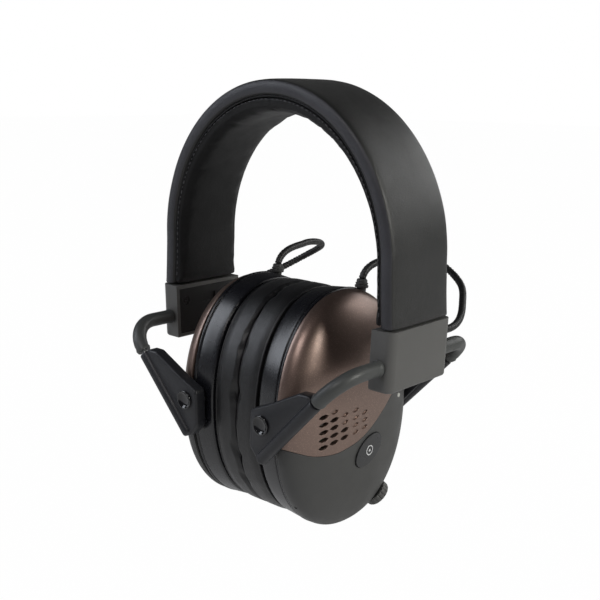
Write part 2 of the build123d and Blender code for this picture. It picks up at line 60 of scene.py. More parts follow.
# ------------------------------------------------------------------ driving dimensions
OVAL_POWER = 2.18        # superellipse exponent of the cup outline
DOME_X = 27.25           # foot of the domed shell
DOME_HALF_Y, DOME_HALF_Z = 42.3, 54.8
DOME_HEIGHT = 15.7
DOME_POWER = 2.5         # superellipse exponent of the dome's profile
DOME_DRIFT = -2.5        # shift of the dome's top along z
SHELL_WALL = 2.2

BAND_HALF_X = 69.5       # outer line of the headband arch
BAND_RISE = 74.7
BAND_LEG_Z = 71.4        # where the arch turns into straight legs
LEG_FLARE = 1.2          # outward drift of a leg down to the bracket
BRACKET_TOP_Z = 46.2
LEG_LEAN = 0.041         # inward slope below the bracket top

FOLD_X, FOLD_Z = 65.0, 30.6          # fold axis of the yoke wire
WIRE_Y = 47.0                        # half the yoke's width, at the wire
WIRE_RUN, WIRE_FALL = 0.690, 0.724   # slope of the wire from the fold to the arm
WIRE_DIR = (-WIRE_RUN / math.hypot(WIRE_RUN, WIRE_FALL), 0,
            -WIRE_FALL / math.hypot(WIRE_RUN, WIRE_FALL))
PIVOT_X, PIVOT_Z = 24.35, 2.77       # axis of the cup's pivot pins
PIN_BORE = 2.05

BUTTON_Y, BUTTON_Z = 2.6, -17.6
KNOB_FOOT = Vector((31.5, 22.8, -47.3))
KNOB_AXIS = Vector((0.408, 0.577, -0.707)).normalized()


def signed_power(value, power):
    return math.copysign(abs(value) ** power, value)


def oval(half_y, half_z, angle):
    power = 2 / OVAL_POWER
    return (half_y * signed_power(math.cos(angle), power),
            half_z * signed_power(math.sin(angle), power))


def oval_reach(y, z, half_y, half_z):
    """1 on the oval, less inside it and more outside."""
    return (abs(y / half_y) ** OVAL_POWER + abs(z / half_z) ** OVAL_POWER) ** (1 / OVAL_POWER)


def dome_point(angle, climb, offset=0.0):
    shrink = math.cos(climb) ** (2 / DOME_POWER)
    lift = math.sin(climb) ** (2 / DOME_POWER)
    y, z = oval((DOME_HALF_Y + offset) * shrink, (DOME_HALF_Z + offset) * shrink, angle)
    return (DOME_X + (DOME_HEIGHT + offset) * lift, y, z + DOME_DRIFT * lift)


def dome_x(y, z, offset=0.0):
    """Dome surface over (y, z). The drift depends on the height, so it is iterated."""
    lift = 0.9
    for _ in range(40):
        reach = oval_reach(y, z - DOME_DRIFT * lift, DOME_HALF_Y + offset, DOME_HALF_Z + offset)
        lift = max(0.0, 1 - reach ** DOME_POWER) ** (1 / DOME_POWER)
    return DOME_X + (DOME_HEIGHT + offset) * lift


# ------------------------------------------------------------------ shader helpers
def add_node(tree, kind, inputs=None, **settings):
    """New node. An input is given as a value, or as a socket to link from."""
    node = tree.nodes.new(kind)
    for key, value in settings.items():
        setattr(node, key, value)
    for key, value in (inputs or {}).items():
        if isinstance(value, bpy.types.NodeSocket):
            tree.links.new(value, node.inputs[key])
        else:
            node.inputs[key].default_value = value
    return node


def mix_colour(tree, factor, first, second):
    return add_node(tree, "ShaderNodeMix", {0: factor, 6: first, 7: second},
                    data_type="RGBA").outputs[2]


def map_range(tree, value, low, high, to_low=0.0, to_high=1.0):
    return add_node(tree, "ShaderNodeMapRange",
                    {0: value, 1: low, 2: high, 3: to_low, 4: to_high}).outputs[0]


def noise(tree, coords, scale, detail, roughness=0.5):
    return add_node(tree, "ShaderNodeTexNoise", {
        "Vector": coords, "Scale": scale, "Detail": detail, "Roughness": roughness})


def shade(colour, gain, lift=0.0):
    return tuple(min(1, c * gain + lift) for c in colour) + (1,)


def grain_height(tree, coords, kind, scale):
    if kind == "cells":
        return add_node(tree, "ShaderNodeTexVoronoi",
                        {"Vector": coords, "Scale": scale, "Smoothness": 0.35},
                        feature="SMOOTH_F1").outputs["Distance"]
    if kind == "crease":
        wander = noise(tree, coords, scale * 0.6, detail=3.0)
        warped = mix_colour(tree, 0.004, coords, wander.outputs["Color"])
        cells = add_node(tree, "ShaderNodeTexVoronoi", {"Vector": warped, "Scale": scale},
                         feature="DISTANCE_TO_EDGE")
        return map_range(tree, cells.outputs["Distance"], 0.0, 0.22)
    if kind == "weave":
        waves = [add_node(tree, "ShaderNodeTexWave",
                          {"Vector": coords, "Scale": scale, "Distortion": 0.4},
                          bands_direction=axis).outputs[1] for axis in "XZ"]
        return add_node(tree, "ShaderNodeMath", {0: waves[0], 1: waves[1]},
                        operation="MAXIMUM").outputs[0]
    return noise(tree, coords, scale, detail=5.0, roughness=0.65).outputs[0]


def material(name, colour, rough, var, var_scale, grains, rough_var=0.10, metal=0.0, coat=0.0,
             coat_rough=0.15, sheen=0.0, wear=0.25, bevel=0.25, spec=0.5, aniso=0.0,
             stretch=(1, 1, 1), speck=0.0):
    """Mottled colour, uneven roughness, bumped grains and softened, lightly worn edges.

    var and var_scale set the mottling, rough_var the spread of roughness, bevel the
    softened edge in mm, speck the strength of bright flecks. A grain is (kind, scale,
    depth in mm)."""
    mat = bpy.data.materials.new(name)
    mat.use_nodes = True
    tree = mat.node_tree
    tree.nodes.clear()
    texcoord = add_node(tree, "ShaderNodeTexCoord")
    coords = add_node(tree, "ShaderNodeMapping",
                      {"Vector": texcoord.outputs["Object"], "Scale": stretch}).outputs[0]
    mottle = noise(tree, coords, var_scale, detail=6.0, roughness=0.6)
    tone = mix_colour(tree, map_range(tree, mottle.outputs[0], 0.3, 0.7),
                      shade(colour, 1 - var), shade(colour, 1 + var))
    if speck:
        # one random value per quarter-millimetre cell
        cell = add_node(tree, "ShaderNodeVectorMath", {0: coords, 1: (0.00025,) * 3},
                        operation="SNAP")
        fleck = add_node(tree, "ShaderNodeTexWhiteNoise", {0: cell.outputs[0]})
        tone = mix_colour(tree, map_range(tree, fleck.outputs[0], 0.86, 1.0, 0.0, speck),
                          tone, shade(colour, 2.6))
    normal = add_node(tree, "ShaderNodeBevel", {"Radius": bevel * MM}, samples=4).outputs[0]
    if wear > 0:
        # the bevelled normal leaves the true one near an edge
        geometry = add_node(tree, "ShaderNodeNewGeometry")
        agree = add_node(tree, "ShaderNodeVectorMath",
                         {0: normal, 1: geometry.outputs["Normal"]}, operation="DOT_PRODUCT")
        patches = noise(tree, coords, 900.0, detail=3.0)
        edge = map_range(tree, agree.outputs["Value"], 0.995, 0.80)
        patchy = map_range(tree, patches.outputs[0], 0.35, 0.65, 0.2, wear)
        worn = add_node(tree, "ShaderNodeMath", {0: edge, 1: patchy}, operation="MULTIPLY")
        tone = mix_colour(tree, worn.outputs[0], tone, shade(colour, 1.8, 0.05))
    uneven = noise(tree, coords, var_scale * 3.1, detail=5.0)
    roughness = map_range(tree, uneven.outputs[0], 0.3, 0.7,
                          max(0.02, rough - rough_var), min(1, rough + rough_var))
    for kind, scale, depth in grains:
        height = grain_height(tree, coords, kind, scale)
        normal = add_node(tree, "ShaderNodeBump", {
            "Strength": 1.0, "Distance": depth * MM, "Height": height,
            "Normal": normal}).outputs[0]
    shader = add_node(tree, "ShaderNodeBsdfPrincipled", {
        "Base Color": tone, "Roughness": roughness, "Metallic": metal,
        "Specular IOR Level": spec, "Coat Weight": coat, "Coat Roughness": coat_rough,
        "Sheen Weight": sheen, "Sheen Roughness": 0.5, "Anisotropic": aniso,
        "Normal": normal})
    add_node(tree, "ShaderNodeOutputMaterial", {0: shader.outputs[0]})
    return mat


# ------------------------------------------------------------------ materials
MATERIALS = {
    # headband and cushions
    "band": material(
        "band_leathercloth", (0.0125, 0.013, 0.013), rough=0.38, var=0.22, var_scale=35,
        rough_var=0.05, grains=(("crease", 1100, 0.030), ("noise", 260, 0.05)),
        sheen=0.06, wear=0.05, bevel=0.1, coat=0.10, coat_rough=0.4),
    "strip": material(
        "band_edge_leathercloth", (0.034, 0.0345, 0.042), rough=0.40, var=0.2, var_scale=45,
        rough_var=0.05, grains=(("crease", 1200, 0.028), ("noise", 300, 0.05)),
        sheen=0.08, wear=0.05, bevel=0.1, coat=0.08, coat_rough=0.4),
    "pad": material(
        "band_lining_leathercloth", (0.0042, 0.0044, 0.0052), rough=0.50, var=0.22,
        var_scale=40, rough_var=0.06, grains=(("crease", 1000, 0.035), ("noise", 180, 0.10)),
        sheen=0.08, wear=0.0, bevel=0.1, coat=0.0, coat_rough=0.4, spec=0.3),
    "cushion": material(
        "cushion_leathercloth", (0.008, 0.0082, 0.0092), rough=0.35, var=0.25, var_scale=45,
        rough_var=0.07, grains=(("crease", 1050, 0.030), ("noise", 200, 0.12)),
        sheen=0.05, wear=0.0, bevel=0.1, coat=0.12, coat_rough=0.32),
    "thread": material(
        "stitching_thread", (0.050, 0.050, 0.055), rough=0.7, var=0.3, var_scale=600,
        grains=(("noise", 5000, 0.03),), wear=0.0, bevel=0.02, sheen=0.3),
    # bracket and yoke
    "bracket": material(
        "bracket_moulded_plastic", (0.108, 0.108, 0.105), rough=0.42, var=0.07, var_scale=25,
        rough_var=0.05, grains=(("noise", 2600, 0.012), ("cells", 3300, 0.008)),
        wear=0.35, bevel=0.3),
    "bracket_in": material(
        "bracket_lid_plastic", (0.008, 0.008, 0.0085), rough=0.5, var=0.15, var_scale=40,
        rough_var=0.05, grains=(("noise", 2600, 0.012),), wear=0.3),
    "sleeve": material(
        "elbow_sleeve_plastic", (0.068, 0.072, 0.071), rough=0.44, var=0.12, var_scale=60,
        rough_var=0.06, grains=(("noise", 2200, 0.02),), wear=0.35, bevel=0.3),
    "arm": material(
        "arm_moulded_plastic", (0.0185, 0.0195, 0.0235), rough=0.42, var=0.12, var_scale=50,
        rough_var=0.06, grains=(("noise", 2400, 0.016), ("cells", 3000, 0.008)),
        wear=0.45, bevel=0.3),
    "pin": material(
        "pivot_pin_gloss_plastic", (0.012, 0.012, 0.014), rough=0.14, var=0.15, var_scale=90,
        rough_var=0.06, grains=(("noise", 1500, 0.006),), wear=0.4, bevel=0.15, coat=0.5,
        coat_rough=0.06),
    # cup shells and controls
    "ring": material(
        "ring_gloss_plastic", (0.0095, 0.010, 0.013), rough=0.27, var=0.15, var_scale=40,
        rough_var=0.03, grains=(("noise", 1400, 0.006),), wear=0.4, coat=0.4,
        coat_rough=0.26),
    "bronze": material(
        "panel_bronze_paint", (0.25, 0.178, 0.150), rough=0.36, metal=0.78, var=0.08,
        var_scale=30, rough_var=0.03, grains=(("noise", 4200, 0.006),), wear=0.5, bevel=0.2,
        coat=0.25, coat_rough=0.25, speck=0.35),
    "cover": material(
        "cover_soft_plastic", (0.063, 0.0637, 0.063), rough=0.46, var=0.10, var_scale=30,
        rough_var=0.06, grains=(("noise", 2400, 0.016), ("cells", 2800, 0.010)), wear=0.3),
    "knob": material(
        "knob_rubber", (0.095, 0.095, 0.093), rough=0.5, var=0.15, var_scale=80,
        rough_var=0.08, grains=(("noise", 2600, 0.02),), wear=0.3, bevel=0.2),
    "button": material(
        "button_smooth_plastic", (0.03, 0.031, 0.034), rough=0.30, var=0.12, var_scale=60,
        rough_var=0.06, grains=(("noise", 2200, 0.006),), wear=0.3, bevel=0.2, coat=0.2),
    "mark": material(
        "button_mark_print", (0.75, 0.76, 0.78), rough=0.4, var=0.08, var_scale=300,
        grains=(("noise", 3000, 0.01),), wear=0.0, bevel=0.02),
    "cable": material(
        "cable_rubber_skin", (0.016, 0.016, 0.017), rough=0.45, var=0.25, var_scale=120,
        grains=(("noise", 1800, 0.02),), wear=0.15, bevel=0.1),
    "grommet": material(
        "grommet_rubber", (0.055, 0.056, 0.056), rough=0.55, var=0.15, var_scale=120,
        rough_var=0.08, grains=(("noise", 2200, 0.02),), wear=0.3, bevel=0.2),
    # metal and inner parts
    "steel": material(
        "yoke_steel", (0.42, 0.42, 0.43), rough=0.28, metal=1.0, var=0.12, var_scale=60,
        grains=(("noise", 1600, 0.006),), wear=0.1, bevel=0.1, aniso=0.4),
    "screw": material(
        "screw_steel_black", (0.10, 0.10, 0.105), rough=0.35, metal=0.9, var=0.25,
        var_scale=400, rough_var=0.12, grains=(("noise", 4000, 0.01),), wear=0.6,
        bevel=0.12),
    "inner": material(
        "inner_moulded_plastic", (0.025, 0.025, 0.026), rough=0.55, var=0.2, var_scale=60,
        grains=(("noise", 2600, 0.015),), bevel=0.2),
    "foam": material(
        "liner_open_foam", (0.030, 0.030, 0.032), rough=0.95, var=0.5, var_scale=900,
        rough_var=0.04, grains=(("cells", 1500, 0.25), ("noise", 2600, 0.12)), wear=0.0,
        bevel=0.3, sheen=0.3, spec=0.2),
    "cloth": material(
        "speaker_cloth", (0.035, 0.035, 0.038), rough=0.9, var=0.25, var_scale=200,
        grains=(("weave", 900, 0.08),), wear=0.0, bevel=0.1, sheen=0.3),
    "board": material(
        "circuit_board_mask", (0.012, 0.085, 0.035), rough=0.32, var=0.3, var_scale=700,
        grains=(("noise", 3000, 0.01),), wear=0.3, bevel=0.1, coat=0.4),
    "mic": material(
        "microphone_can", (0.5, 0.5, 0.5), rough=0.3, metal=1.0, var=0.15, var_scale=300,
        grains=(("noise", 3000, 0.008),), wear=0.2, bevel=0.1),
    "lens": material(
        "status_light_lens", (0.55, 0.56, 0.52), rough=0.2, var=0.1, var_scale=500,
        grains=(("noise", 1500, 0.004),), wear=0.0, bevel=0.1, coat=0.5),
    "battery": material(
        "battery_wrap_film", (0.16, 0.17, 0.20), rough=0.3, metal=0.5, var=0.2,
        var_scale=150, grains=(("noise", 2000, 0.005),), wear=0.2, bevel=0.1, coat=0.4),
    "brass": material(
        "contact_plated", (0.62, 0.52, 0.30), rough=0.3, metal=1.0, var=0.2, var_scale=400,
        grains=(("noise", 3000, 0.01),), wear=0.2, bevel=0.1),
    "spring": material(
        "spring_strip_steel", (0.45, 0.45, 0.46), rough=0.3, metal=1.0, var=0.15,
        var_scale=120, grains=(("noise", 900, 0.01),), wear=0.2, bevel=0.1,
        stretch=(1, 8, 1)),
}

# CAD name prefix to material key. The first match counts, and the rest get "inner".
CAD_MATERIALS = (
    ("cup_ring", "ring"), ("shell_panel", "bronze"), ("lower_cover", "cover"),
    ("battery_door", "cover"), ("door_hinge_pin", "screw"), ("batteries", "battery"),
    ("battery_contacts", "brass"), ("speaker_baffle", "inner"), ("speaker", "cloth"),
    ("foam_liner", "foam"), ("case_screws", "screw"), ("microphone", "mic"),
    ("circuit_board", "board"), ("button_switch", "screw"), ("status_light", "lens"),
    ("mode_button", "button"), ("volume_knob", "knob"), ("volume_control", "mic"),
    ("cable_grommet", "grommet"), ("link_cable", "cable"), ("pivot_pins", "pin"),
    ("arm_", "arm"), ("yoke_wire", "steel"), ("elbow_sleeves", "sleeve"),
    ("bracket_shell", "bracket"), ("bracket_cover", "bracket_in"),
    ("bracket_screws", "screw"), ("band_spring", "spring"), ("band_cable", "cable"),
    ("band_cover", "band"), ("band_pad", "pad"), ("ear_cushion", "cushion"))
for name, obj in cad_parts.items():
    key = next((mat for prefix, mat in CAD_MATERIALS if name.startswith(prefix)), "inner")
    if not obj.material_slots:
        obj.data.materials.append(MATERIALS[key])
    for slot in obj.material_slots:
        slot.link = "OBJECT"
        slot.material = MATERIALS[key]


# ------------------------------------------------------------------ objects from points
# Below, a "mesh" argument is a pair (points in mm, faces).
def tidy(data, merge=None, dissolve=False):
    """Face normals made consistent; points closer than merge (metres) joined."""
    work = bmesh.new()
    work.from_mesh(data)
    if merge:
        bmesh.ops.remove_doubles(work, verts=work.verts, dist=merge)
    if dissolve:
        bmesh.ops.dissolve_degenerate(work, edges=work.edges, dist=merge)
    bmesh.ops.recalc_face_normals(work, faces=work.faces)
    work.to_mesh(data)
    work.free()


def link_new(name, data):
    obj = bpy.data.objects.new(name, data)
    SCENE.collection.objects.link(obj)
    return obj


def raw_object(mesh, name="work", scale=MM, merge=None):
    verts, faces = mesh
    data = bpy.data.meshes.new(name)
    data.from_pydata([tuple(c * scale for c in v) for v in verts], [],
                     [tuple(face) for face in faces])
    tidy(data, merge)
    return link_new(name, data)


def shade_with_edges(data, sharp):
    data.shade_smooth()
    data.set_sharp_from_angle(angle=math.radians(sharp))


def register(obj, body, replaced):
    if body:
        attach(obj, body)
    if replaced:
        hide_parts(replaced)


def make(name, mesh, mat, body=None, replaced=None, sharp=40, side=1, extra_mats=()):
    """Finished part. side=-1 mirrors it to the left; sharp is the crease angle in degrees."""
    verts, faces = mesh
    obj = raw_object((verts if side > 0 else flip_x(verts), faces), name, merge=1e-7)
    for key in (mat, *extra_mats):
        obj.data.materials.append(MATERIALS[key])
    shade_with_edges(obj.data, sharp)
    register(obj, body, replaced)
    return obj


def make_copy(name, source, mat, body, replaced, side=1, flip=1, sharp=35):
    """Part from a work object, mirrored left by side=-1 and front to back by flip=-1."""
    data = source.data.copy()
    data.transform(Matrix.Diagonal((side, flip, 1, 1)))
    if side * flip < 0:
        data.flip_normals()
    data.materials.clear()
    data.materials.append(MATERIALS[mat])
    data.polygons.foreach_set("material_index", [0] * len(data.polygons))
    shade_with_edges(data, sharp)
    obj = link_new(name, data)
    register(obj, body, replaced)
    return obj


def bake(obj):
    """Replace the object's mesh with its modified one."""
    graph = bpy.context.evaluated_depsgraph_get()
    data = bpy.data.meshes.new_from_object(obj.evaluated_get(graph))
    obj.modifiers.clear()
    obj.data = data


def boolean(obj, mesh, operation="DIFFERENCE"):
    tool = raw_object(mesh)
    modifier = obj.modifiers.new("cut", "BOOLEAN")
    modifier.operation = operation
    modifier.object = tool
    modifier.solver = "EXACT"
    bake(obj)
    bpy.data.objects.remove(tool)


def read_points(data):
    flat = np.empty(len(data.vertices) * 3)
    data.vertices.foreach_get("co", flat)
    return flat.reshape(-1, 3)


# ------------------------------------------------------------------ shapes as points
def flip_x(verts):
    return [(-x, y, z) for x, y, z in verts]


def flip_y(verts):
    return [(x, -y, z) for x, y, z in verts]


def join(*meshes):
    verts, faces = [], []
    for more_verts, more_faces in meshes:
        start = len(verts)
        verts += list(more_verts)
        faces += [tuple(i + start for i in face) for face in more_faces]
    return verts, faces


def turns(count):
    return [2 * math.pi * i / count for i in range(count)]


def skin(rings, loop=False, cap=False):
    """Quads between equal rings of points; loop joins last to first, cap closes the ends."""
    count, size = len(rings), len(rings[0])
    verts = [point for ring in rings for point in ring]
    faces = []
    for i in range(count if loop else count - 1):
        here, there = i * size, (i + 1) % count * size
        for j in range(size):
            after = (j + 1) % size
            faces.append((here + j, here + after, there + after, there + j))
    if cap:
        faces.append(tuple(range(size))[::-1])
        faces.append(tuple((count - 1) * size + j for j in range(size)))
    return verts, faces


def axes(direction):
    along = Vector(direction).normalized()
    hint = Vector((0, 0, 1))
    if abs(along.dot(hint)) > 0.95:
        hint = Vector((1, 0, 0))
    across = hint.cross(along).normalized()
    return across, along.cross(across), along


def circle(centre, across, up, radius, count):
    return [tuple(centre + (across * math.cos(angle) + up * math.sin(angle)) * radius)
            for angle in turns(count)]


def oval_ring(x, half_y, half_z, count=160):
    return [(x, *oval(half_y, half_z, angle)) for angle in turns(count)]


def lathe(base, direction, profile, sides=48):
    """profile: (radius, height along the direction), starting and ending on the axis."""
    across, up, along = axes(direction)
    base = Vector(base)
    return skin([circle(base + along * height, across, up, max(radius, 1e-4), sides)
                 for radius, height in profile], cap=True)


def cylinder(base, direction, radius, height, sides=40):
    return lathe(base, direction, [(0, 0), (radius, 0), (radius, height), (0, height)], sides)


def prism_x(outline, x0, x1):
    return skin([[(x, y, z) for y, z in outline] for x in (x0, x1)], cap=True)


def path_frames(path):
    """Two axes across the path at each point, carried along without twisting."""
    last = len(path) - 1
    tangents = [(path[min(i + 1, last)] - path[max(i - 1, 0)]).normalized()
                for i in range(last + 1)]
    across, up, _ = axes(tangents[0])
    frames = [(across, up)]
    for before, here in zip(tangents[:-1], tangents[1:]):
        turn = before.rotation_difference(here)
        across = turn @ across
        up = turn @ up
        frames.append((across, up))
    return frames


def tube(path, radii, sides, cap=True):
    """radii: one number, or a list with one per point."""
    if not isinstance(radii, list):
        radii = [radii] * len(path)
    return skin([circle(point, across, up, radius, sides) for point, (across, up), radius
                 in zip(path, path_frames(path), radii)], cap=cap)


def spline(points, steps):
    """Catmull-Rom curve through the points."""
    knots = [Vector(point) for point in points]
    knots = [knots[0] * 2 - knots[1]] + knots + [knots[-1] * 2 - knots[-2]]
    curve = []
    for before, start, end, after in zip(knots, knots[1:], knots[2:], knots[3:]):
        for j in range(steps):
            t = j / steps
            curve.append(0.5 * ((2 * start) + (end - before) * t
                                + (2 * before - 5 * start + 4 * end - after) * t * t
                                + (3 * start - before - 3 * end + after) * t ** 3))
    curve.append(knots[-2])
    return curve


def fillet_path(points, radius, steps):
    points = [Vector(point) for point in points]
    path = [points[0]]
    for before, corner, after in zip(points, points[1:], points[2:]):
        back, ahead = (before - corner).normalized(), (after - corner).normalized()
        opening = back.angle(ahead)
        reach = radius / math.tan(opening / 2)
        centre = corner + (back + ahead).normalized() * (radius / math.sin(opening / 2))
        spoke = corner + back * reach - centre
        axis = spoke.cross((corner + ahead * reach) - centre).normalized()
        sweep = math.pi - opening
        for j in range(steps + 1):
            path.append(centre + Matrix.Rotation(sweep * j / steps, 3, axis) @ spoke)
    path.append(points[-1])
    return path


def densify(path, step):
    dense = [path[0]]
    for start, end in zip(path[:-1], path[1:]):
        count = max(1, int((end - start).length / step))
        dense += [start.lerp(end, j / count) for j in range(1, count + 1)]
    return dense


def running_lengths(path, gap=lambda start, end: (end - start).length):
    return list(accumulate(map(gap, path[:-1], path[1:]), initial=0.0))


def round_corners(outline, radii, steps=6):
    """radii: one number, or a list with one per corner."""
    rounded = []
    for i in range(len(outline)):
        corner = Vector(outline[i])
        back = Vector(outline[i - 1]) - corner
        ahead = Vector(outline[(i + 1) % len(outline)]) - corner
        shortest = min(back.length, ahead.length)
        back.normalize()
        ahead.normalize()
        half = back.angle(ahead) / 2
        radius = radii[i] if isinstance(radii, list) else radii
        reach = min(radius / math.tan(half), shortest * 0.45)
        radius = reach * math.tan(half)
        centre = corner + (back + ahead).normalized() * (radius / math.sin(half))
        first, last = corner + back * reach - centre, corner + ahead * reach - centre
        start = math.atan2(first.y, first.x)
        sweep = (math.atan2(last.y, last.x) - start + math.pi) % (2 * math.pi) - math.pi
        for j in range(steps + 1):
            angle = start + sweep * j / steps
            rounded.append((centre.x + radius * math.cos(angle),
                            centre.y + radius * math.sin(angle)))
    return rounded


def inset(outline, distance):
    count = len(outline)
    area = sum(outline[i - 1][0] * outline[i][1] - outline[i][0] * outline[i - 1][1]
               for i in range(count))
    sign = 1 if area > 0 else -1
    moved = []
    for i in range(count):
        corner = Vector(outline[i])
        edge_in = (corner - Vector(outline[i - 1])).normalized()
        edge_out = (Vector(outline[(i + 1) % count]) - corner).normalized()
        normal = Vector((-edge_in.y, edge_in.x)) * sign
        mitre = normal + Vector((-edge_out.y, edge_out.x)) * sign
        mitre = mitre.normalized() if mitre.length > 1e-6 else normal
        # sharp corners move a limited distance
        moved.append(tuple(corner + mitre * (distance / max(0.4, mitre.dot(normal)))))
    return moved


def rounded_slab(outline, bottom, top, bottom_round, top_round, place, steps):
    """Outline extruded with rounded rims. place maps (u, v, height) to a point."""
    def ring(height, inward):
        return [place(u, v, height) for u, v in inset(outline, inward)]

    angles = [math.pi / 2 * j / steps for j in range(steps + 1)]
    rings = [ring(bottom + bottom_round * (1 - math.sin(angle)),
                  bottom_round * (1 - math.cos(angle))) for angle in reversed(angles)]
    rings += [ring(top - top_round * (1 - math.sin(angle)),
                   top_round * (1 - math.cos(angle))) for angle in angles]
    return skin(rings, cap=True)


# ------------------------------------------------------------------ cloth
CLOTH_SCALE = 0.01    # the solver sees the part ten times larger
CLOTH_FRAMES = 20
CLOTH_STIFFNESS = 14.0
CLOTH_PRESSURE = 3.0


def inflate(mesh, pins, growth, bending, max_move, jitter, seed):
    """Settled points (mm) of pressurised cloth, held where pins is 1."""
    verts, faces = mesh
    start = np.array(verts, float)
    rng = np.random.RandomState(seed)
    shaken = start + rng.uniform(-jitter, jitter, start.shape) * (1 - np.array(pins)[:, None])
    obj = raw_object((shaken, faces), "cloth_work", scale=CLOTH_SCALE)
    group = obj.vertex_groups.new(name="hold")
    for i, weight in enumerate(pins):
        if weight > 0:
            group.add([i], float(weight), "REPLACE")
    cloth = obj.modifiers.new("sim", "CLOTH")
    settings = cloth.settings
    settings.quality = 7
    settings.mass = 0.25
    settings.tension_stiffness = CLOTH_STIFFNESS
    settings.compression_stiffness = CLOTH_STIFFNESS
    settings.shear_stiffness = CLOTH_STIFFNESS * 0.4
    settings.bending_stiffness = bending
    settings.air_damping = 3.0
    settings.use_pressure = True
    settings.uniform_pressure_force = CLOTH_PRESSURE
    settings.vertex_group_mass = "hold"
    settings.pin_stiffness = 1.0
    settings.shrink_min = -growth
    settings.effector_weights.gravity = 0.0
    cloth.collision_settings.use_collision = False
    cloth.collision_settings.use_self_collision = False
    cloth.point_cache.frame_start = 1
    cloth.point_cache.frame_end = CLOTH_FRAMES + 5
    for frame_number in range(1, CLOTH_FRAMES + 1):
        SCENE.frame_set(frame_number)
    graph = bpy.context.evaluated_depsgraph_get()
    settled = read_points(obj.evaluated_get(graph).data) / CLOTH_SCALE
    bpy.data.objects.remove(obj)
    SCENE.frame_set(1)
    move = settled - start
    size = np.linalg.norm(move, axis=1, keepdims=True)
    move = np.where(size > max_move, move / np.maximum(size, 1e-9) * max_move, move)
    move[~np.isfinite(move)] = 0
    return start + move


# ------------------------------------------------------------------ ear cushions
OPENING_HALF_Y, OPENING_HALF_Z = 23.9, 36.9
CUSHION_HALF_Y, CUSHION_HALF_Z = 40.25, 53.95
CUSHION_SWELL = 0.5       # how far the roll may bulge past its outer oval
CUSHION_FACE_X = 0.16     # the face that meets the other cushion
CUSHION_PRESS_X = 1.1     # points nearer than this are flattened towards the face
# piping: half y, half z, radius, x
WELTS = ((39.7, 53.4, 0.55, 12.35), (24.3, 37.3, 0.5, 12.3))


def roll_section():
    """Closed section of the roll: (0 at the ear opening to 1 at the outer edge, x)."""
    def arc(centre_out, centre_x, radius_out, radius_x, start, end, steps):
        angles = [math.radians(start + (end - start) * i / steps) for i in range(steps + 1)]
        return [(centre_out + radius_out * math.cos(angle),
                 centre_x + radius_x * math.sin(angle)) for angle in angles]

    return [
        *arc(0.915, 11.9, 0.075, 1.0, 90, 0, 3),       # plate side, outer corner
        (0.999, 9.2), (1.008, 7.2), (1.008, 5.2), (1.0, 3.4),
        *arc(0.845, 2.75, 0.155, 2.55, 0, -90, 7),     # face, outer roll
        (0.62, 0.2), (0.45, 0.2),
        *arc(0.27, 4.2, 0.245, 3.9, -90, -180, 6),     # face, inner roll
        (0.02, 6.6), (0.02, 9.0),
        *arc(0.10, 11.9, 0.075, 1.0, 180, 90, 3),      # plate side, inner corner
        (0.35, 12.95), (0.65, 12.95)]


def cushion_mesh():
    section = roll_section()
    rings = []
    for angle in turns(144):
        y0, z0 = oval(OPENING_HALF_Y, OPENING_HALF_Z, angle)
        y1, z1 = oval(CUSHION_HALF_Y, CUSHION_HALF_Z, angle)
        rings.append([(x, y0 + (y1 - y0) * out, z0 + (z1 - z0) * out) for out, x in section])
    verts, faces = skin(rings, loop=True)
    pins = [1.0 if x > 11.7 else 0.0 for x, y, z in verts]
    points = inflate((verts, faces), pins, growth=0.024, bending=0.6, max_move=0.9,
                     jitter=0.010, seed=4)
    # the two cushions press flat on each other, and the plate side stays on its plate
    x = points[:, 0]
    pressed = (CUSHION_FACE_X + np.maximum(0, x - CUSHION_FACE_X) ** 2
               / (2 * (CUSHION_PRESS_X - CUSHION_FACE_X)))
    points[:, 0] = np.clip(np.where(x < CUSHION_PRESS_X, pressed, x), CUSHION_FACE_X, 13.0)
    for point in points:
        reach = oval_reach(point[1], point[2], CUSHION_HALF_Y + CUSHION_SWELL,
                           CUSHION_HALF_Z + CUSHION_SWELL)
        if reach > 1:
            point[1:] /= reach
    return [tuple(point) for point in points], faces


def subdivide(obj):
    modifier = obj.modifiers.new("smooth", "SUBSURF")
    modifier.levels = modifier.render_levels = 1
    modifier.boundary_smooth = "PRESERVE_CORNERS"
    bake(obj)
    obj.data.shade_smooth()


def welt_mesh(half_y, half_z, radius, x):
    path = [Vector(point) for point in oval_ring(x, half_y, half_z)]
    outward = Vector(OUT)
    rings = []
    for j, point in enumerate(path):
        tangent = (path[(j + 1) % len(path)] - path[j - 1]).normalized()
        uneven = radius * (1 + 0.06 * math.sin(j * 2.4))
        rings.append(circle(point, outward, tangent.cross(outward), uneven, 10))
    return skin(rings, loop=True)


cushion_verts, cushion_faces = cushion_mesh()
for suffix, side in SIDES:
    # the left cushion is the right one turned half round z
    verts = cushion_verts if side > 0 else [(-x, -y, z) for x, y, z in cushion_verts]
    obj = make("cushion_skin" + suffix, (verts, cushion_faces), "cushion",
               replaced="ear_cushion" + suffix, sharp=180)
    subdivide(obj)
    points = read_points(obj.data)
    points[:, 0] = side * np.clip(np.abs(points[:, 0]), 0.00015, 0.01302)    # metres
    obj.data.vertices.foreach_set("co", points.ravel())
    obj.data.update()
    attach(obj, "cup" + suffix)
    # piping where the skin meets its plate, and around the ear opening
    make("cushion_welt" + suffix, join(*(welt_mesh(*welt) for welt in WELTS)), "cushion",
         body="cup" + suffix, sharp=180, side=side)


# ------------------------------------------------------------------ headband
ARCH_RUN = 113        # rough length of half the arch, to share out stations
BAND_STEP = 2.4
COVER_END_Z = 46.75
COVER_WOBBLE = 0.11
COVER_END_ROUND = 0.9
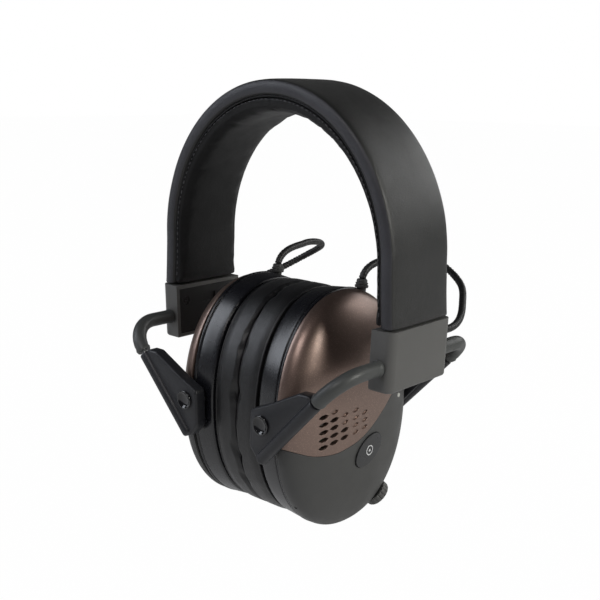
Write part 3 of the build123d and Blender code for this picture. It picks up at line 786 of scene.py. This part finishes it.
# half section of the cover: y, depth below the outer line
COVER_HALF = [
    (0, -0.28), (5, -0.27), (10, -0.21), (14, -0.12), (17.0, 0.0), (18.4, 0.14),
    (19.2, 0.34), (19.8, 0.66), (20.24, 1.15), (20.52, 1.8), (20.68, 2.6), (20.72, 3.5),
    (20.64, 4.4), (20.44, 5.2), (20.1, 5.9), (19.6, 6.42), (18.9, 6.8), (18.0, 6.97),
    (12, 7.0), (0, 7.0)]
COVER_SECTION = COVER_HALF + [(-y, depth) for y, depth in reversed(COVER_HALF[1:-1])]
LINING_DEPTH = 7.13   # where the lining starts
TRIM_END_Z = 48.2     # end of the piping and stitches
STITCH_LENGTH, STITCH_PITCH = 2.1, 2.9
# strips inside the band: name, material, y from, y to, depth from, depth to, end z, replaces
BAND_STRIPS = (
    ("band_spring_strip", "spring", -9.0, 9.0, 2.65, 3.75, 34.0, "band_spring"),
    ("band_flat_cable", "cable", 12.0, 14.4, 2.65, 3.95, 36.0, "band_cable"))


def leg_x(z):
    if z >= BRACKET_TOP_Z:
        down = (BAND_LEG_Z - z) / (BAND_LEG_Z - BRACKET_TOP_Z)
        return BAND_HALF_X + LEG_FLARE * down ** 1.4
    return BAND_HALF_X + LEG_FLARE - LEG_LEAN * (BRACKET_TOP_Z - z)


def stations(end_z, step=BAND_STEP):
    """Outer line from the crown down the right leg: (x, z, outward normal x, z)."""
    line = [(0.0, BAND_LEG_Z + BAND_RISE, 0.0, 1.0)]
    count = int(ARCH_RUN / step)
    quarter = math.pi / 2
    for angle in [quarter - 0.004] + [quarter * (1 - i / count) for i in range(1, count + 1)]:
        cos, sin = math.cos(angle), math.sin(angle)
        normal_x, normal_z = cos / BAND_HALF_X, sin / BAND_RISE
        size = math.hypot(normal_x, normal_z)
        line.append((BAND_HALF_X * cos, BAND_LEG_Z + BAND_RISE * sin,
                     normal_x / size, normal_z / size))
    count = int((BAND_LEG_Z - end_z) / step)
    for i in range(1, count + 1):
        z = BAND_LEG_Z + (end_z - BAND_LEG_Z) * i / count
        line.append((leg_x(z), z, 1.0, 0.0))
    return line


def band_point(station, y, depth):
    x, z, normal_x, normal_z = station
    return (x - normal_x * depth, y, z - normal_z * depth)


def wobble(station, y, phase=0.0):
    """Gentle unevenness of a padded surface."""
    run = station[0] * 0.9 + station[1] * 1.1
    return (0.5 * math.sin(run * 0.11 + y * 0.13 + phase)
            + 0.3 * math.sin(run * 0.23 - y * 0.21 + 1.7 * phase)
            + 0.2 * math.sin(run * 0.47 + y * 0.31 + 2.1))


def cover_mesh():
    """Cover section swept from the crown down a leg, with a rounded end."""
    *line, last = stations(COVER_END_Z)
    rings = []
    for i, station in enumerate(line):
        fade = min(1.0, i / 3.0)     # the two halves meet evenly at the crown
        ring = []
        for y, depth in COVER_SECTION:
            sideways = 0.25 * COVER_WOBBLE * wobble(station, y, 1.3) * (abs(y) > 19.8) * fade
            inward = COVER_WOBBLE * wobble(station, y) * fade * (0.3 if depth > 3 else 1)
            ring.append(band_point(station, y + sideways, depth - inward))
        rings.append(ring)
    depths = [depth for y, depth in COVER_SECTION]
    half_y = max(y for y, depth in COVER_SECTION)
    middle = (min(depths) + max(depths)) / 2
    half_depth = (max(depths) - min(depths)) / 2
    for j in range(5):
        angle = math.pi / 2 * j / 4
        shrink = COVER_END_ROUND * (1 - math.cos(angle))
        lift = COVER_END_ROUND * (1 - math.sin(angle))
        station = (last[0], last[1] + lift, last[2], last[3])
        rings.append([band_point(station, y * (1 - shrink / half_y),
                                 middle + (depth - middle) * (1 - shrink / half_depth))
                      for y, depth in COVER_SECTION])
    return skin(rings, cap=True)


def lining_half(station):
    """Half the lining's thickness, fullest at the crown."""
    return 1.62 + 1.75 * max(0.0, (station[1] - BAND_LEG_Z) / BAND_RISE) ** 1.2


def stuffed_lining():
    """Rings of points from the left leg to the right one, stuffed between sewn edges."""
    right = stations(47.5, 2.2)
    line = [(-x, z, -normal_x, normal_z) for x, z, normal_x, normal_z
            in reversed(right[1:])] + right
    sides = 52
    rings, pins = [], []
    for i, station in enumerate(line):
        half = lining_half(station)
        ring = []
        for j in range(sides):
            angle = 2 * math.pi * (j + 0.5) / sides
            cos, sin = math.cos(angle), math.sin(angle)
            depth = LINING_DEPTH + half + half * signed_power(sin, 0.75 if sin > 0 else 0.4)
            ring.append(band_point(station, 19.35 * signed_power(cos, 0.62), depth))
            pins.append(1.0 if sin < -0.1 or i in (0, len(line) - 1) else 0.0)
        rings.append(ring)
    points = inflate(skin(rings, cap=True), pins, growth=0.014, bending=0.8, max_move=0.7,
                     jitter=0.006, seed=9)
    return points.reshape(len(line), sides, 3)


def lining_mesh(all_rings, side):
    """One half of the lining, cut flat at the crown and closed by a rounded end."""
    crown = len(all_rings) // 2
    rings = list(all_rings[crown:] if side > 0 else all_rings[crown::-1])
    rings[0] = rings[0] * (0, 1, 1)
    rings.insert(1, 0.9 * rings[0] + 0.1 * rings[1])
    end = rings[-1]
    to_centre = end.mean(axis=0) - end
    rings[-1] = end + (0, 0, 0.9)
    rings.append(end + (0, 0, 0.35) + to_centre * (0.10, 0.015, 0))
    rings.append(end + to_centre * (0.40, 0.05, 0))
    return skin(rings, cap=True)


def piping_mesh():
    """Piping between the lining and the edge strip."""
    return join(*(tube([Vector(band_point(station, edge * 18.55, 7.25))
                        for station in stations(TRIM_END_Z)], 0.5, 10) for edge in (-1, 1)))


def stitches_mesh():
    line = stations(TRIM_END_Z, 0.8)
    runs = running_lengths(line, lambda start, end: math.hypot(end[0] - start[0],
                                                               end[1] - start[1]))
    parts = []
    start = 1.2
    while start < runs[-1] - 3:
        inside = [i for i, run in enumerate(runs) if start <= run <= start + STITCH_LENGTH]
        if len(inside) >= 2:
            for edge in (-1, 1):
                path = []
                for i in inside:
                    bow = 0.16 * math.sin(math.pi * (runs[i] - start) / STITCH_LENGTH)
                    depth = LINING_DEPTH + 0.45 * lining_half(line[i])
                    path.append(Vector(band_point(line[i], edge * (19.02 + bow), depth)))
                parts.append(tube(path, 0.24, 6))
        start += STITCH_PITCH
    return join(*parts)


def blend_leg(obj):
    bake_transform(obj)


lining_rings = stuffed_lining()
for suffix, side in SIDES:
    obj = make("band_cover_skin" + suffix, cover_mesh(), "band", replaced="band_cover",
               sharp=50, side=side, extra_mats=("strip",))
    for face in obj.data.polygons:    # the narrow edges take the strip material; metres
        on_edge = abs(face.center.y) > 0.0199 and abs(face.normal.y) > 0.25
        face.material_index = 1 if on_edge else 0
    blend_leg(obj)
    obj = make("band_lining" + suffix, lining_mesh(lining_rings, side), "pad",
               replaced="band_pad", sharp=60)
    blend_leg(obj)
    obj = make("band_piping" + suffix, piping_mesh(), "pad", sharp=60, side=side)
    blend_leg(obj)
    obj = make("band_stitches" + suffix, stitches_mesh(), "thread", sharp=60, side=side)
    blend_leg(obj)
    for name, mat, y0, y1, depth0, depth1, end_z, replaced in BAND_STRIPS:
        section = round_corners([(y0, depth0), (y1, depth0), (y1, depth1), (y0, depth1)],
                                0.35, 3)
        mesh = skin([[band_point(station, y, depth) for y, depth in section]
                     for station in stations(end_z)], cap=True)
        obj = make(name + suffix, mesh, mat, replaced=replaced, sharp=50, side=side)
        blend_leg(obj)


# ------------------------------------------------------------------ yoke arms
# arm outline: x, z, corner radius
ARM_OUTLINE = [
    (53.6, 17.9, 1.8), (50.4, 21.4, 1.8), (45.0, 21.4, 3.0), (27.4, 12.6, 4.0),
    (17.2, 8.2, 3.0), (16.6, -8.5, 4.5), (21.8, -14.2, 2.0), (24.6, -14.4, 1.8)]
# rib around the wire: radius, distance from its mouth
RIB_PROFILE = [
    (0, 0), (2.2, 0), (2.62, 0.12), (2.84, 0.4), (2.9, 0.8), (2.9, 43.0), (2.8, 43.7),
    (2.4, 44.3), (1.6, 44.6), (0, 44.6)]
WIRE_BORE_START, WIRE_BORE_END = 10, 58.5    # along the wire from the fold


def wire_at(distance):
    """Point on the front wire, at a distance from the fold."""
    return (FOLD_X + WIRE_DIR[0] * distance, -WIRE_Y, FOLD_Z + WIRE_DIR[2] * distance)


def arm_object():
    outline = round_corners([(x, z) for x, z, radius in ARM_OUTLINE],
                            [radius for x, z, radius in ARM_OUTLINE])
    arm = raw_object(rounded_slab(outline, 42.75, 48.2, 0.4, 1.25,
                                  lambda x, z, height: (x, -height, z), steps=5))
    boolean(arm, lathe(wire_at(16.6), WIRE_DIR, RIB_PROFILE, 40), "UNION")
    # raised seat around the pin
    seat = [(0, 0), (5.9, 0), (5.9, 1.15), (5.75, 1.22), (0, 1.22)]
    boolean(arm, lathe((PIVOT_X, -WIRE_Y, PIVOT_Z), FRONT, seat, 56), "UNION")
    boolean(arm, cylinder(wire_at(WIRE_BORE_START), WIRE_DIR, 1.45,
                          WIRE_BORE_END - WIRE_BORE_START, 24))
    boolean(arm, cylinder((PIVOT_X, -30, PIVOT_Z), FRONT, PIN_BORE, 30))
    return arm


# ------------------------------------------------------------------ elbow sleeves
SLEEVE_START_Y = -21.45
SLEEVE_END = 15.2       # along the wire from the fold
SLEEVE_SIDES, SLEEVE_BORE_SIDES = 36, 24


def sleeve_radius(run, total):
    """Plain tube with a collar and a groove at each end, and rounded rims."""
    left = total - run
    radius = 3.3
    if run < 2.4:
        radius = 3.55
    elif left < 2.2:
        radius = 3.5
    elif run < 3.0 or left < 2.8:
        radius = 3.15
    rim = min(run, left)
    if rim < 0.5:
        radius -= 0.35 * (1 - rim / 0.5)
    return radius


def annulus(outer_start, outer_count, inner_start, inner_count):
    """Triangles between two rings of point numbers with unequal counts."""
    outer = [outer_start + i % outer_count for i in range(outer_count + 1)]
    inner = [inner_start + i % inner_count for i in range(inner_count + 1)]
    faces = []
    i = j = 0
    while i < outer_count or j < inner_count:
        outer_behind = (i + 0.5) / outer_count <= (j + 0.5) / inner_count
        if j >= inner_count or (outer_behind and i < outer_count):
            faces.append((outer[i], outer[i + 1], inner[j]))
            i += 1
        else:
            faces.append((outer[i], inner[j + 1], inner[j]))
            j += 1
    return faces


def sleeve_pair():
    corners = [(FOLD_X, SLEEVE_START_Y, FOLD_Z), (FOLD_X, -WIRE_Y, FOLD_Z),
               wire_at(SLEEVE_END)]
    path = densify(fillet_path(corners, radius=14.0, steps=20), 0.8)
    runs = running_lengths(path)
    outer = tube(path, [sleeve_radius(run, runs[-1]) for run in runs], SLEEVE_SIDES, cap=False)
    bore = tube(path, 1.46, SLEEVE_BORE_SIDES, cap=False)
    verts, faces = join(outer, bore)
    outer_count = len(outer[0])
    for outer_start, bore_start in ((0, outer_count), (outer_count - SLEEVE_SIDES,
                                                       len(verts) - SLEEVE_BORE_SIDES)):
        faces += annulus(outer_start, SLEEVE_SIDES, bore_start, SLEEVE_BORE_SIDES)
    return join((verts, faces), (flip_y(verts), faces))


# ------------------------------------------------------------------ pivot pins
# radius, height from the pin's inner end; the head is dished
PIN_PROFILE = [
    (0, 0), (2.9, 0), (3.15, 0.12), (3.2, 0.3), (3.2, 1.1), (3.1, 1.25), (2.0, 1.25),
    (2.0, 14.05), (4.1, 14.05), (4.32, 14.15), (4.42, 14.4), (4.42, 14.8), (4.34, 15.02),
    (4.15, 15.14), (3.92, 15.15), (3.72, 15.08), (3.5, 14.9), (3.15, 14.62), (2.5, 14.32),
    (1.7, 14.14), (0.8, 14.06), (0, 14.05)]


def pin_pair():
    verts, faces = lathe((PIVOT_X, -34.2, PIVOT_Z), FRONT, PIN_PROFILE, 56)
    return join((verts, faces), (flip_y(verts), faces))


arm = arm_object()
for suffix, side in SIDES:
    for place, flip in (("front", 1), ("rear", -1)):
        make_copy("yoke_arm_" + place + suffix, arm, "arm", "arms" + suffix,
                  "arm_" + place + suffix, side=side, flip=flip)
    make("elbow_sleeve_pair" + suffix, sleeve_pair(), "sleeve", body="yoke" + suffix,
         replaced="elbow_sleeves" + suffix, sharp=38, side=side)
    make("pivot_pin_pair" + suffix, pin_pair(), "pin", body="arms" + suffix,
         replaced="pivot_pins" + suffix, sharp=50, side=side)
bpy.data.objects.remove(arm)


# ------------------------------------------------------------------ cables and strain reliefs
# cable from the cup up, over and down into the bracket
CABLE_POINTS = [
    (26.5, 15.3, 57.6), (29.5, 38.1, 64.9), (39.8, 62.1, 59.0), (50.7, 59.9, 52.4),
    (59.0, 49.5, 45.8), (68.4, 27.0, 40.1), (68.6, 17.2, 40.0)]
CABLE_STEP = 0.4
CABLE_RADIUS = 1.5            # at the joints between lengths
RELIEF_AXIS = (0.0, 0.10, 0.995)
# each length of cable: the body at its bracket end, the body at its cup end
CABLE_LINKS = (("arms", "cup"), ("yoke", "arms"), ("leg", "yoke"))
# radius, height along the axis
RELIEF_PROFILE = [
    (0, 0), (2.15, 0), (2.15, 4.6), (2.2, 5.9), (3.0, 5.95), (3.15, 6.2), (3.15, 7.0),
    (2.7, 7.15), (2.65, 7.5), (2.9, 7.62), (2.85, 8.2), (2.4, 8.35), (2.35, 8.7),
    (2.55, 8.82), (2.45, 9.4), (2.1, 9.85), (1.7, 9.95), (0, 9.95)]


def curve_through(points, start_dir, end_dir, steps=60):
    """Hermite curve through the points that leaves and arrives along given directions."""
    points = [Vector(point) for point in points]
    slopes = [Vector(start_dir).normalized()]
    for before, here, after in zip(points, points[1:], points[2:]):
        behind, ahead = (here - before).length, (after - here).length
        slopes.append(((here - before) / behind * ahead + (after - here) / ahead * behind)
                      / (behind + ahead))
    slopes.append(Vector(end_dir).normalized())
    curve = []
    for i in range(len(points) - 1):
        start, end = points[i], points[i + 1]
        length = (end - start).length
        leave, arrive = slopes[i] * length, slopes[i + 1] * length
        for j in range(steps):
            t = j / steps
            curve.append(start * (2 * t ** 3 - 3 * t ** 2 + 1)
                         + leave * (t ** 3 - 2 * t ** 2 + t)
                         + end * (-2 * t ** 3 + 3 * t ** 2) + arrive * (t ** 3 - t ** 2))
    curve.append(points[-1])
    return curve


def evenly(path, step):
    runs = running_lengths(path)
    count = int(round(runs[-1] / step))
    even = []
    k = 0
    for i in range(count + 1):
        run = runs[-1] * i / count
        while k < len(runs) - 2 and runs[k + 1] < run:
            k += 1
        share = (run - runs[k]) / max(1e-9, runs[k + 1] - runs[k])
        even.append(path[k].lerp(path[k + 1], share))
    return even


cable_path = evenly(curve_through(CABLE_POINTS, (0, 0.35, 1), (0, -1, 0)), CABLE_STEP)
cable_count = len(cable_path)
cable_cuts = [0, int(cable_count * 0.40), int(cable_count * 0.64), cable_count - 1]
# one frame along the whole cable, so neighbouring lengths share their end rings
cable_frames = path_frames(cable_path)


def cable_mesh(first, last):
    """Ribbed length of cable between two points of the path."""
    rings = []
    for i in range(first, last + 1):
        radius = 1.60 + (0.10 if (i * CABLE_STEP) % 1.6 < 1.0 else -0.10)
        if i in cable_cuts:
            radius = CABLE_RADIUS
        rings.append(circle(cable_path[i], *cable_frames[i], radius, 20))
    return skin(rings, cap=True)


for suffix, side in SIDES:
    for k, (parent, child) in enumerate(CABLE_LINKS):
        first, last = cable_cuts[k], cable_cuts[k + 1]
        obj = make("link_cable_%d" % (k + 1) + suffix, cable_mesh(first, last), "cable",
                   replaced="link_cable" + suffix, sharp=60, side=side)
        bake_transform(obj)
    make("strain_relief" + suffix, lathe((26.5, 14.25, 47.6), RELIEF_AXIS, RELIEF_PROFILE, 32),
         "grommet", body="cup" + suffix, replaced="cable_grommet" + suffix, side=side)


# ------------------------------------------------------------------ outer shells
SPLIT_GAP = 0.12      # half the gap between the upper panel and the lower cover
# line between panel and cover: y, z
SPLIT_LINE = [
    (-60, -5.0), (-50, -6.3), (-41.2, -8.6), (-33.2, -11.7), (-27.3, -13.0), (-19, -13.6),
    (-9.5, -12.3), (-2.5, -10.4), (4.4, -6.9), (10.7, -2.6), (16.3, 1.6), (19.9, 4.4),
    (30, 12.0), (41, 20.5), (50, 27), (60, 34)]
# slot centres in the panel: y, z
THROUGH_SLOTS = [
    (-26.6, 4.7), (-26.6, 1.3), (-26.6, -2.2), (-26.6, -5.6), (-26.6, -9.1), (-20.8, 2.4),
    (-20.8, -1.1), (-20.8, -4.6), (-20.8, -8.0), (-14.6, -3.6), (-14.6, -7.1)]
BLIND_SLOTS = [
    (-20.8, 5.9), (-14.6, 3.3), (-14.6, -0.1), (-7.6, 3.9), (-7.6, 0.4), (-7.6, -3.0),
    (-7.6, -6.4), (-1.4, 1.4), (-1.4, -2.1), (-1.4, -5.6)]
# slot outline about its centre: y, z
SLOT_OUTLINE = [
    (-2.75, -0.35), (-1.2, 0.75), (0.9, 1.15), (2.75, 0.45), (1.3, -0.75), (-0.8, -1.1)]
BLIND_SCALE, BLIND_DEPTH = 0.9, 0.75
CUT_X0, CUT_X1 = 28, 60       # reach of cutters through the dome


def dome_shell():
    def rings(count, offset):
        climbs = [math.pi / 2 * (1 - (1 - i / count) ** 1.25) for i in range(count)]
        return [[dome_point(angle, climb, offset) for angle in turns(176)]
                for climb in climbs + [math.pi / 2 - 1e-3]]

    return skin(rings(24, -SHELL_WALL)[::-1] + rings(52, 0.0), cap=True)


def split_side(up):
    """Block above (1) or below (-1) the split line."""
    line = [(y, z + up * SPLIT_GAP) for y, z in map(tuple, spline(SPLIT_LINE, 10))]
    return prism_x(line + [(60, up * 90), (-60, up * 90)], 10, CUT_X1)


def slot_cutter(y, z, scale, corner, x0):
    outline = [(y + scale * dy, z + scale * dz) for dy, dz in SLOT_OUTLINE]
    return prism_x(round_corners(outline, corner, 3), x0, CUT_X1)


def panel_object(shell):
    panel = raw_object(shell)
    boolean(panel, split_side(1), "INTERSECT")
    slots = [slot_cutter(y, z, 1, 0.28, CUT_X0) for y, z in THROUGH_SLOTS]
    slots += [slot_cutter(y, z, BLIND_SCALE, 0.25, dome_x(y, z) - BLIND_DEPTH)
              for y, z in BLIND_SLOTS]
    boolean(panel, join(*slots))
    tidy(panel.data, merge=1e-6, dissolve=True)
    return panel


def button_opening():
    """Tilted ellipse around the button."""
    cos, sin = math.cos(math.radians(28)), math.sin(math.radians(28))
    outline = []
    for angle in turns(64):
        y, z = 9.98 * math.cos(angle), 6.48 * math.sin(angle)
        outline.append((BUTTON_Y + y * cos - z * sin, BUTTON_Z + y * sin + z * cos))
    return outline


def plain_copy(obj):
    """Work object with only the points and faces of another."""
    return raw_object(([tuple(vert.co / MM) for vert in obj.data.vertices],
                       [tuple(face.vertices) for face in obj.data.polygons]))


def cover_object(shell):
    half = raw_object(shell)
    boolean(half, split_side(-1), "INTERSECT")
    cover = plain_copy(half)
    bpy.data.objects.remove(half)
    # bore for the knob's shaft, then the recess for its grip
    boolean(cover, cylinder(KNOB_FOOT - KNOB_AXIS * 6, KNOB_AXIS, 1.75, 12))
    boolean(cover, cylinder(KNOB_FOOT - KNOB_AXIS * 0.9, KNOB_AXIS, 7.0, 8, 72))
    boolean(cover, prism_x(button_opening(), CUT_X0, CUT_X1))
    vent = cylinder((29.6, -36.5, -42.0), (0, 0.82, 0.57), 0.8, 8, 24)
    small_hole = cylinder((30, 27.2, 2.2), OUT, 1.06, 20, 32)
    boolean(cover, join(vent, small_hole))
    tidy(cover.data, merge=1e-6, dissolve=True)
    return cover


def make_shell(name, source, side, mat, body, replaced, width):
    """Part from a work object, with its hard edges bevelled by width."""
    obj = make_copy(name, source, mat, body, replaced, side=side, sharp=30)
    modifier = obj.modifiers.new("edge", "BEVEL")
    modifier.width = width * MM
    modifier.segments = 2
    modifier.limit_method = "ANGLE"
    modifier.angle_limit = math.radians(34)
    modifier.use_clamp_overlap = True
    modifier.miter_outer = "MITER_ARC"
    bake(obj)
    shade_with_edges(obj.data, 38)
    bpy.context.view_layer.update()


# ------------------------------------------------------------------ cup rings
RING_FACE_X = 14.6
# closed section, with a lip at the cushion and a bead at the shell: half y, half z, x
RING_SECTION = [
    (27.0, 40.5, RING_FACE_X), (36.0, 49.8, 14.6), (39.3, 53.3, 14.6), (39.9, 53.9, 14.72),
    (40.2, 54.2, 15.05), (40.33, 54.33, 15.6), (40.55, 54.55, 18.0), (40.85, 54.85, 21.0),
    (41.1, 55.1, 24.0), (41.12, 55.12, 24.6), (41.02, 55.02, 24.78), (40.78, 54.78, 24.9),
    (40.78, 54.78, 25.15), (41.02, 55.02, 25.28), (41.3, 55.3, 25.5), (41.42, 55.42, 25.9),
    (41.42, 55.42, 26.3), (41.25, 55.25, 26.7), (40.9, 54.9, 26.95), (40.4, 54.4, 27.1),
    (38.2, 52.2, 27.1), (38.0, 52.0, 26.8), (38.0, 52.0, 16.8), (27.0, 40.5, 16.8)]
BOSS_PROFILE = [(0, 0), (5.2, 0), (5.2, 6.55), (5.1, 6.78), (4.85, 6.9), (0, 6.9)]
SCREW_HOLE = [(0, 0), (2.6, 0), (2.6, 2.25), (1.4, 2.25), (1.4, 6), (0, 6)]
SCREW_PLACES = ((22.5, 33.5), (-22.5, 33.5), (10.5, -43.4), (-10.5, -43.4))


def cup_ring(bottom_hole):
    ring = raw_object(skin([oval_ring(x, half_y, half_z) for half_y, half_z, x
                            in RING_SECTION], loop=True))
    # bosses around the pivot pins, kept within the ring's depth
    for end in (-1, 1):
        verts, faces = lathe((PIVOT_X, end * 35.6, PIVOT_Z), (0, end, 0), BOSS_PROFILE)
        boolean(ring, ([(min(x, 27.05), y, z) for x, y, z in verts], faces), "UNION")
    cuts = [cylinder((PIVOT_X, -50, PIVOT_Z), BACK, PIN_BORE, 20),
            cylinder((PIVOT_X, 30, PIVOT_Z), BACK, PIN_BORE, 20),
            cylinder((26.5, 13.9, 44.0), RELIEF_AXIS, 2.3, 14)]
    cuts += [lathe((RING_FACE_X - 1, y, z), OUT, SCREW_HOLE, 28) for y, z in SCREW_PLACES]
    # short slots at the top and bottom of the cushion side
    for z0, z1 in ((45.05, 46.95), (-46.95, -45.05)):
        cuts.append(prism_x([(-4.3, z0), (4.3, z0), (4.3, z1), (-4.3, z1)],
                            RING_FACE_X - 1, 18.6))
    boolean(ring, join(*cuts))
    if bottom_hole:
        boolean(ring, cylinder((22.0, 0, -45.0), (0, 0, -1), 2.95, 20))
    tidy(ring.data, merge=1e-6, dissolve=True)
    return ring


shell = dome_shell()
panel = panel_object(shell)
cover = cover_object(shell)
for suffix, side in SIDES:
    ring = cup_ring(bottom_hole=side < 0)
    make_copy("cup_ring_shell" + suffix, ring, "ring", "cup" + suffix, "cup_ring" + suffix,
              side=side, sharp=38)
    bpy.data.objects.remove(ring)
for suffix, side in SIDES:
    make_shell("shell_panel_skin" + suffix, panel, side, "bronze", "cup" + suffix,
               "shell_panel" + suffix, width=0.22)
make_shell("lower_cover_skin_right", cover, 1, "cover", "cup_right", "lower_cover_right",
           width=0.25)
for obj in (panel, cover):
    bpy.data.objects.remove(obj)


# ------------------------------------------------------------------ volume knob
KNOB_FLUTES, FLUTE_DEPTH = 18, 0.42
# radius, height along the knob's axis, share of the flute depth
KNOB_PROFILE = [
    (1.5, -7.1, 0), (1.5, -0.65, 0), (6.1, -0.65, 0.2), (6.45, -0.45, 1), (6.5, 0.2, 1),
    (6.5, 2.0, 1), (6.42, 2.5, 1), (6.2, 2.95, 0.8), (5.85, 3.3, 0.4), (5.3, 3.55, 0.1),
    (4.6, 3.65, 0), (4.3, 3.6, 0), (4.1, 3.42, 0), (3.2, 3.3, 0), (1.5, 3.25, 0)]
POINTER_OUTLINE = [(2.0, -0.35), (3.9, -0.35), (3.9, 0.35), (2.0, 0.35)]
knob_across, knob_up, _ = axes(KNOB_AXIS)


def knob_point(u, v, height):
    return tuple(KNOB_FOOT + knob_across * u + knob_up * v + KNOB_AXIS * height)


def knob_mesh():
    rings = []
    for radius, height, flute in KNOB_PROFILE:
        ring = []
        for angle in turns(144):
            fluting = FLUTE_DEPTH * flute * max(0.0, math.cos(angle * KNOB_FLUTES)) ** 3
            reach = radius - fluting
            ring.append(knob_point(math.cos(angle) * reach, math.sin(angle) * reach, height))
        rings.append(ring)
    return skin(rings, cap=True)


make("knob_grip", knob_mesh(), "knob", body="volume_knob", replaced="volume_knob", sharp=35)
# pointer rib on the top
pointer = rounded_slab(round_corners(POINTER_OUTLINE, 0.3, 4), 0.0, 0.35, 0.05, 0.12,
                       lambda u, v, height: knob_point(u, v, 3.28 + height), steps=3)
make("knob_pointer", pointer, "mark", body="volume_knob", sharp=50)


# ------------------------------------------------------------------ button mark: ring and dot
BUTTON_FACE = 0.70    # the button's face above the dome


def mark_rings(profile, count):
    """profile: (radius, height above the button's face)."""
    rings = []
    for radius, height in profile:
        places = [(BUTTON_Y + radius * math.cos(angle), BUTTON_Z + radius * math.sin(angle))
                  for angle in turns(count)]
        rings.append([(dome_x(y, z, BUTTON_FACE + height), y, z) for y, z in places])
    return rings


mark_ring = mark_rings(((1.95, 0.02), (1.95, 0.09), (2.4, 0.09), (2.4, 0.02)), 40)
mark_dot = mark_rings(((0.02, 0.02), (0.62, 0.02), (0.62, 0.09), (0.02, 0.09)), 20)
make("button_mark", join(skin(mark_ring, loop=True), skin(mark_dot, cap=True)), "mark",
     body="mode_button", sharp=50)


# ------------------------------------------------------------------ stage (metres from here)
FLOOR_Z = -0.082
FLOOR_HALF = 6
AIM = (0, 0, 0.02)


def paper_material():
    """Almost pure white to the camera, grey paper to other rays, clear from below."""
    mat = bpy.data.materials.new("studio_paper")
    mat.use_nodes = True
    tree = mat.node_tree
    paper = tree.nodes["Principled BSDF"]
    speckle = add_node(tree, "ShaderNodeTexNoise", {"Scale": 40})
    grey = map_range(tree, speckle.outputs[0], 0.0, 1.0, 0.59, 0.61)
    colour = add_node(tree, "ShaderNodeCombineColor", {i: grey for i in range(3)})
    tree.links.new(colour.outputs[0], paper.inputs["Base Color"])
    for key, value in (("Roughness", 0.9), ("Specular IOR Level", 0.0),
                       ("Emission Color", (1, 1, 1, 1)), ("Emission Strength", 0.18)):
        paper.inputs[key].default_value = value
    rays = add_node(tree, "ShaderNodeLightPath")
    white = add_node(tree, "ShaderNodeEmission", {1: 1.0})
    seen = add_node(tree, "ShaderNodeMath", {0: rays.outputs["Is Camera Ray"], 1: 0.99},
                    operation="MULTIPLY")
    top = add_node(tree, "ShaderNodeMixShader",
                   {0: seen.outputs[0], 1: paper.outputs[0], 2: white.outputs[0]})
    geometry = add_node(tree, "ShaderNodeNewGeometry")
    clear = add_node(tree, "ShaderNodeBsdfTransparent")
    both = add_node(tree, "ShaderNodeMixShader", {
        0: geometry.outputs["Backfacing"], 1: top.outputs[0], 2: clear.outputs[0]})
    tree.links.new(both.outputs[0], tree.nodes["Material Output"].inputs[0])
    return mat


def make_floor():
    mat = paper_material()
    data = bpy.data.meshes.new("floor")
    corners = ((-1, -1), (1, -1), (1, 1), (-1, 1))
    data.from_pydata([(x * FLOOR_HALF, y * FLOOR_HALF, FLOOR_Z) for x, y in corners], [],
                     [(0, 1, 2, 3)])
    data.materials.append(mat)
    link_new("floor", data)


def make_world():
    """White to the camera, a dim room to the object."""
    world = bpy.data.worlds.new("studio")
    SCENE.world = world
    world.use_nodes = True
    tree = world.node_tree
    tree.nodes.clear()
    rays = add_node(tree, "ShaderNodeLightPath")
    coords = add_node(tree, "ShaderNodeTexCoord")
    split = add_node(tree, "ShaderNodeSeparateXYZ", {0: coords.outputs["Generated"]})
    glow = map_range(tree, split.outputs[2], -0.2, 0.7, 0.065, 0.014)    # fades upwards
    dim = add_node(tree, "ShaderNodeBackground", {1: glow})
    white = add_node(tree, "ShaderNodeBackground", {0: (1, 1, 1, 1), 1: 1.0})
    mix = add_node(tree, "ShaderNodeMixShader", {
        0: rays.outputs["Is Camera Ray"], 1: dim.outputs[0], 2: white.outputs[0]})
    add_node(tree, "ShaderNodeOutputWorld", {0: mix.outputs[0]})


def softbox(name, location, width, height, power, colour=(1, 1, 1)):
    light = bpy.data.lights.new(name, "AREA")
    light.shape = "RECTANGLE"
    light.size = width
    light.size_y = height
    light.energy = power
    light.color = colour
    obj = bpy.data.objects.new(name, light)
    obj.location = location
    aim = Vector(AIM) - Vector(location)
    obj.rotation_euler = aim.to_track_quat("-Z", "Y").to_euler()
    SCENE.collection.objects.link(obj)


def make_camera():
    camera = bpy.data.cameras.new("camera")
    camera.lens = 57.055
    camera.sensor_width = 36
    camera.clip_start = 0.01
    obj = bpy.data.objects.new("camera", camera)
    rotation = Matrix(((0.74207, -0.15436, 0.65231),
                       (0.67020, 0.15224, -0.72640),
                       (0.01282, 0.97622, 0.21642)))
    location = (0.29073, -0.32143, 0.14175)
    obj.matrix_world = Matrix.Translation(location) @ rotation.to_4x4()
    SCENE.collection.objects.link(obj)
    SCENE.camera = obj


SCENE.view_settings.view_transform = "Standard"
make_floor()
make_world()
softbox("softbox_right", (1.03, 0.17, 0.50), width=0.4, height=0.4, power=6.0,
        colour=(1.0, 0.99, 0.93))
softbox("softbox_top", (0.24, -0.84, 0.82), width=0.4, height=0.4, power=2.4,
        colour=(1.0, 0.96, 0.96))
softbox("softbox_left", (-0.78, -0.66, 0.62), width=0.45, height=0.9, power=4.4,
        colour=(0.88, 0.92, 1.0))
softbox("softbox_rear", (0.30, 0.95, 0.45), width=0.8, height=0.5, power=2.4)
make_camera()
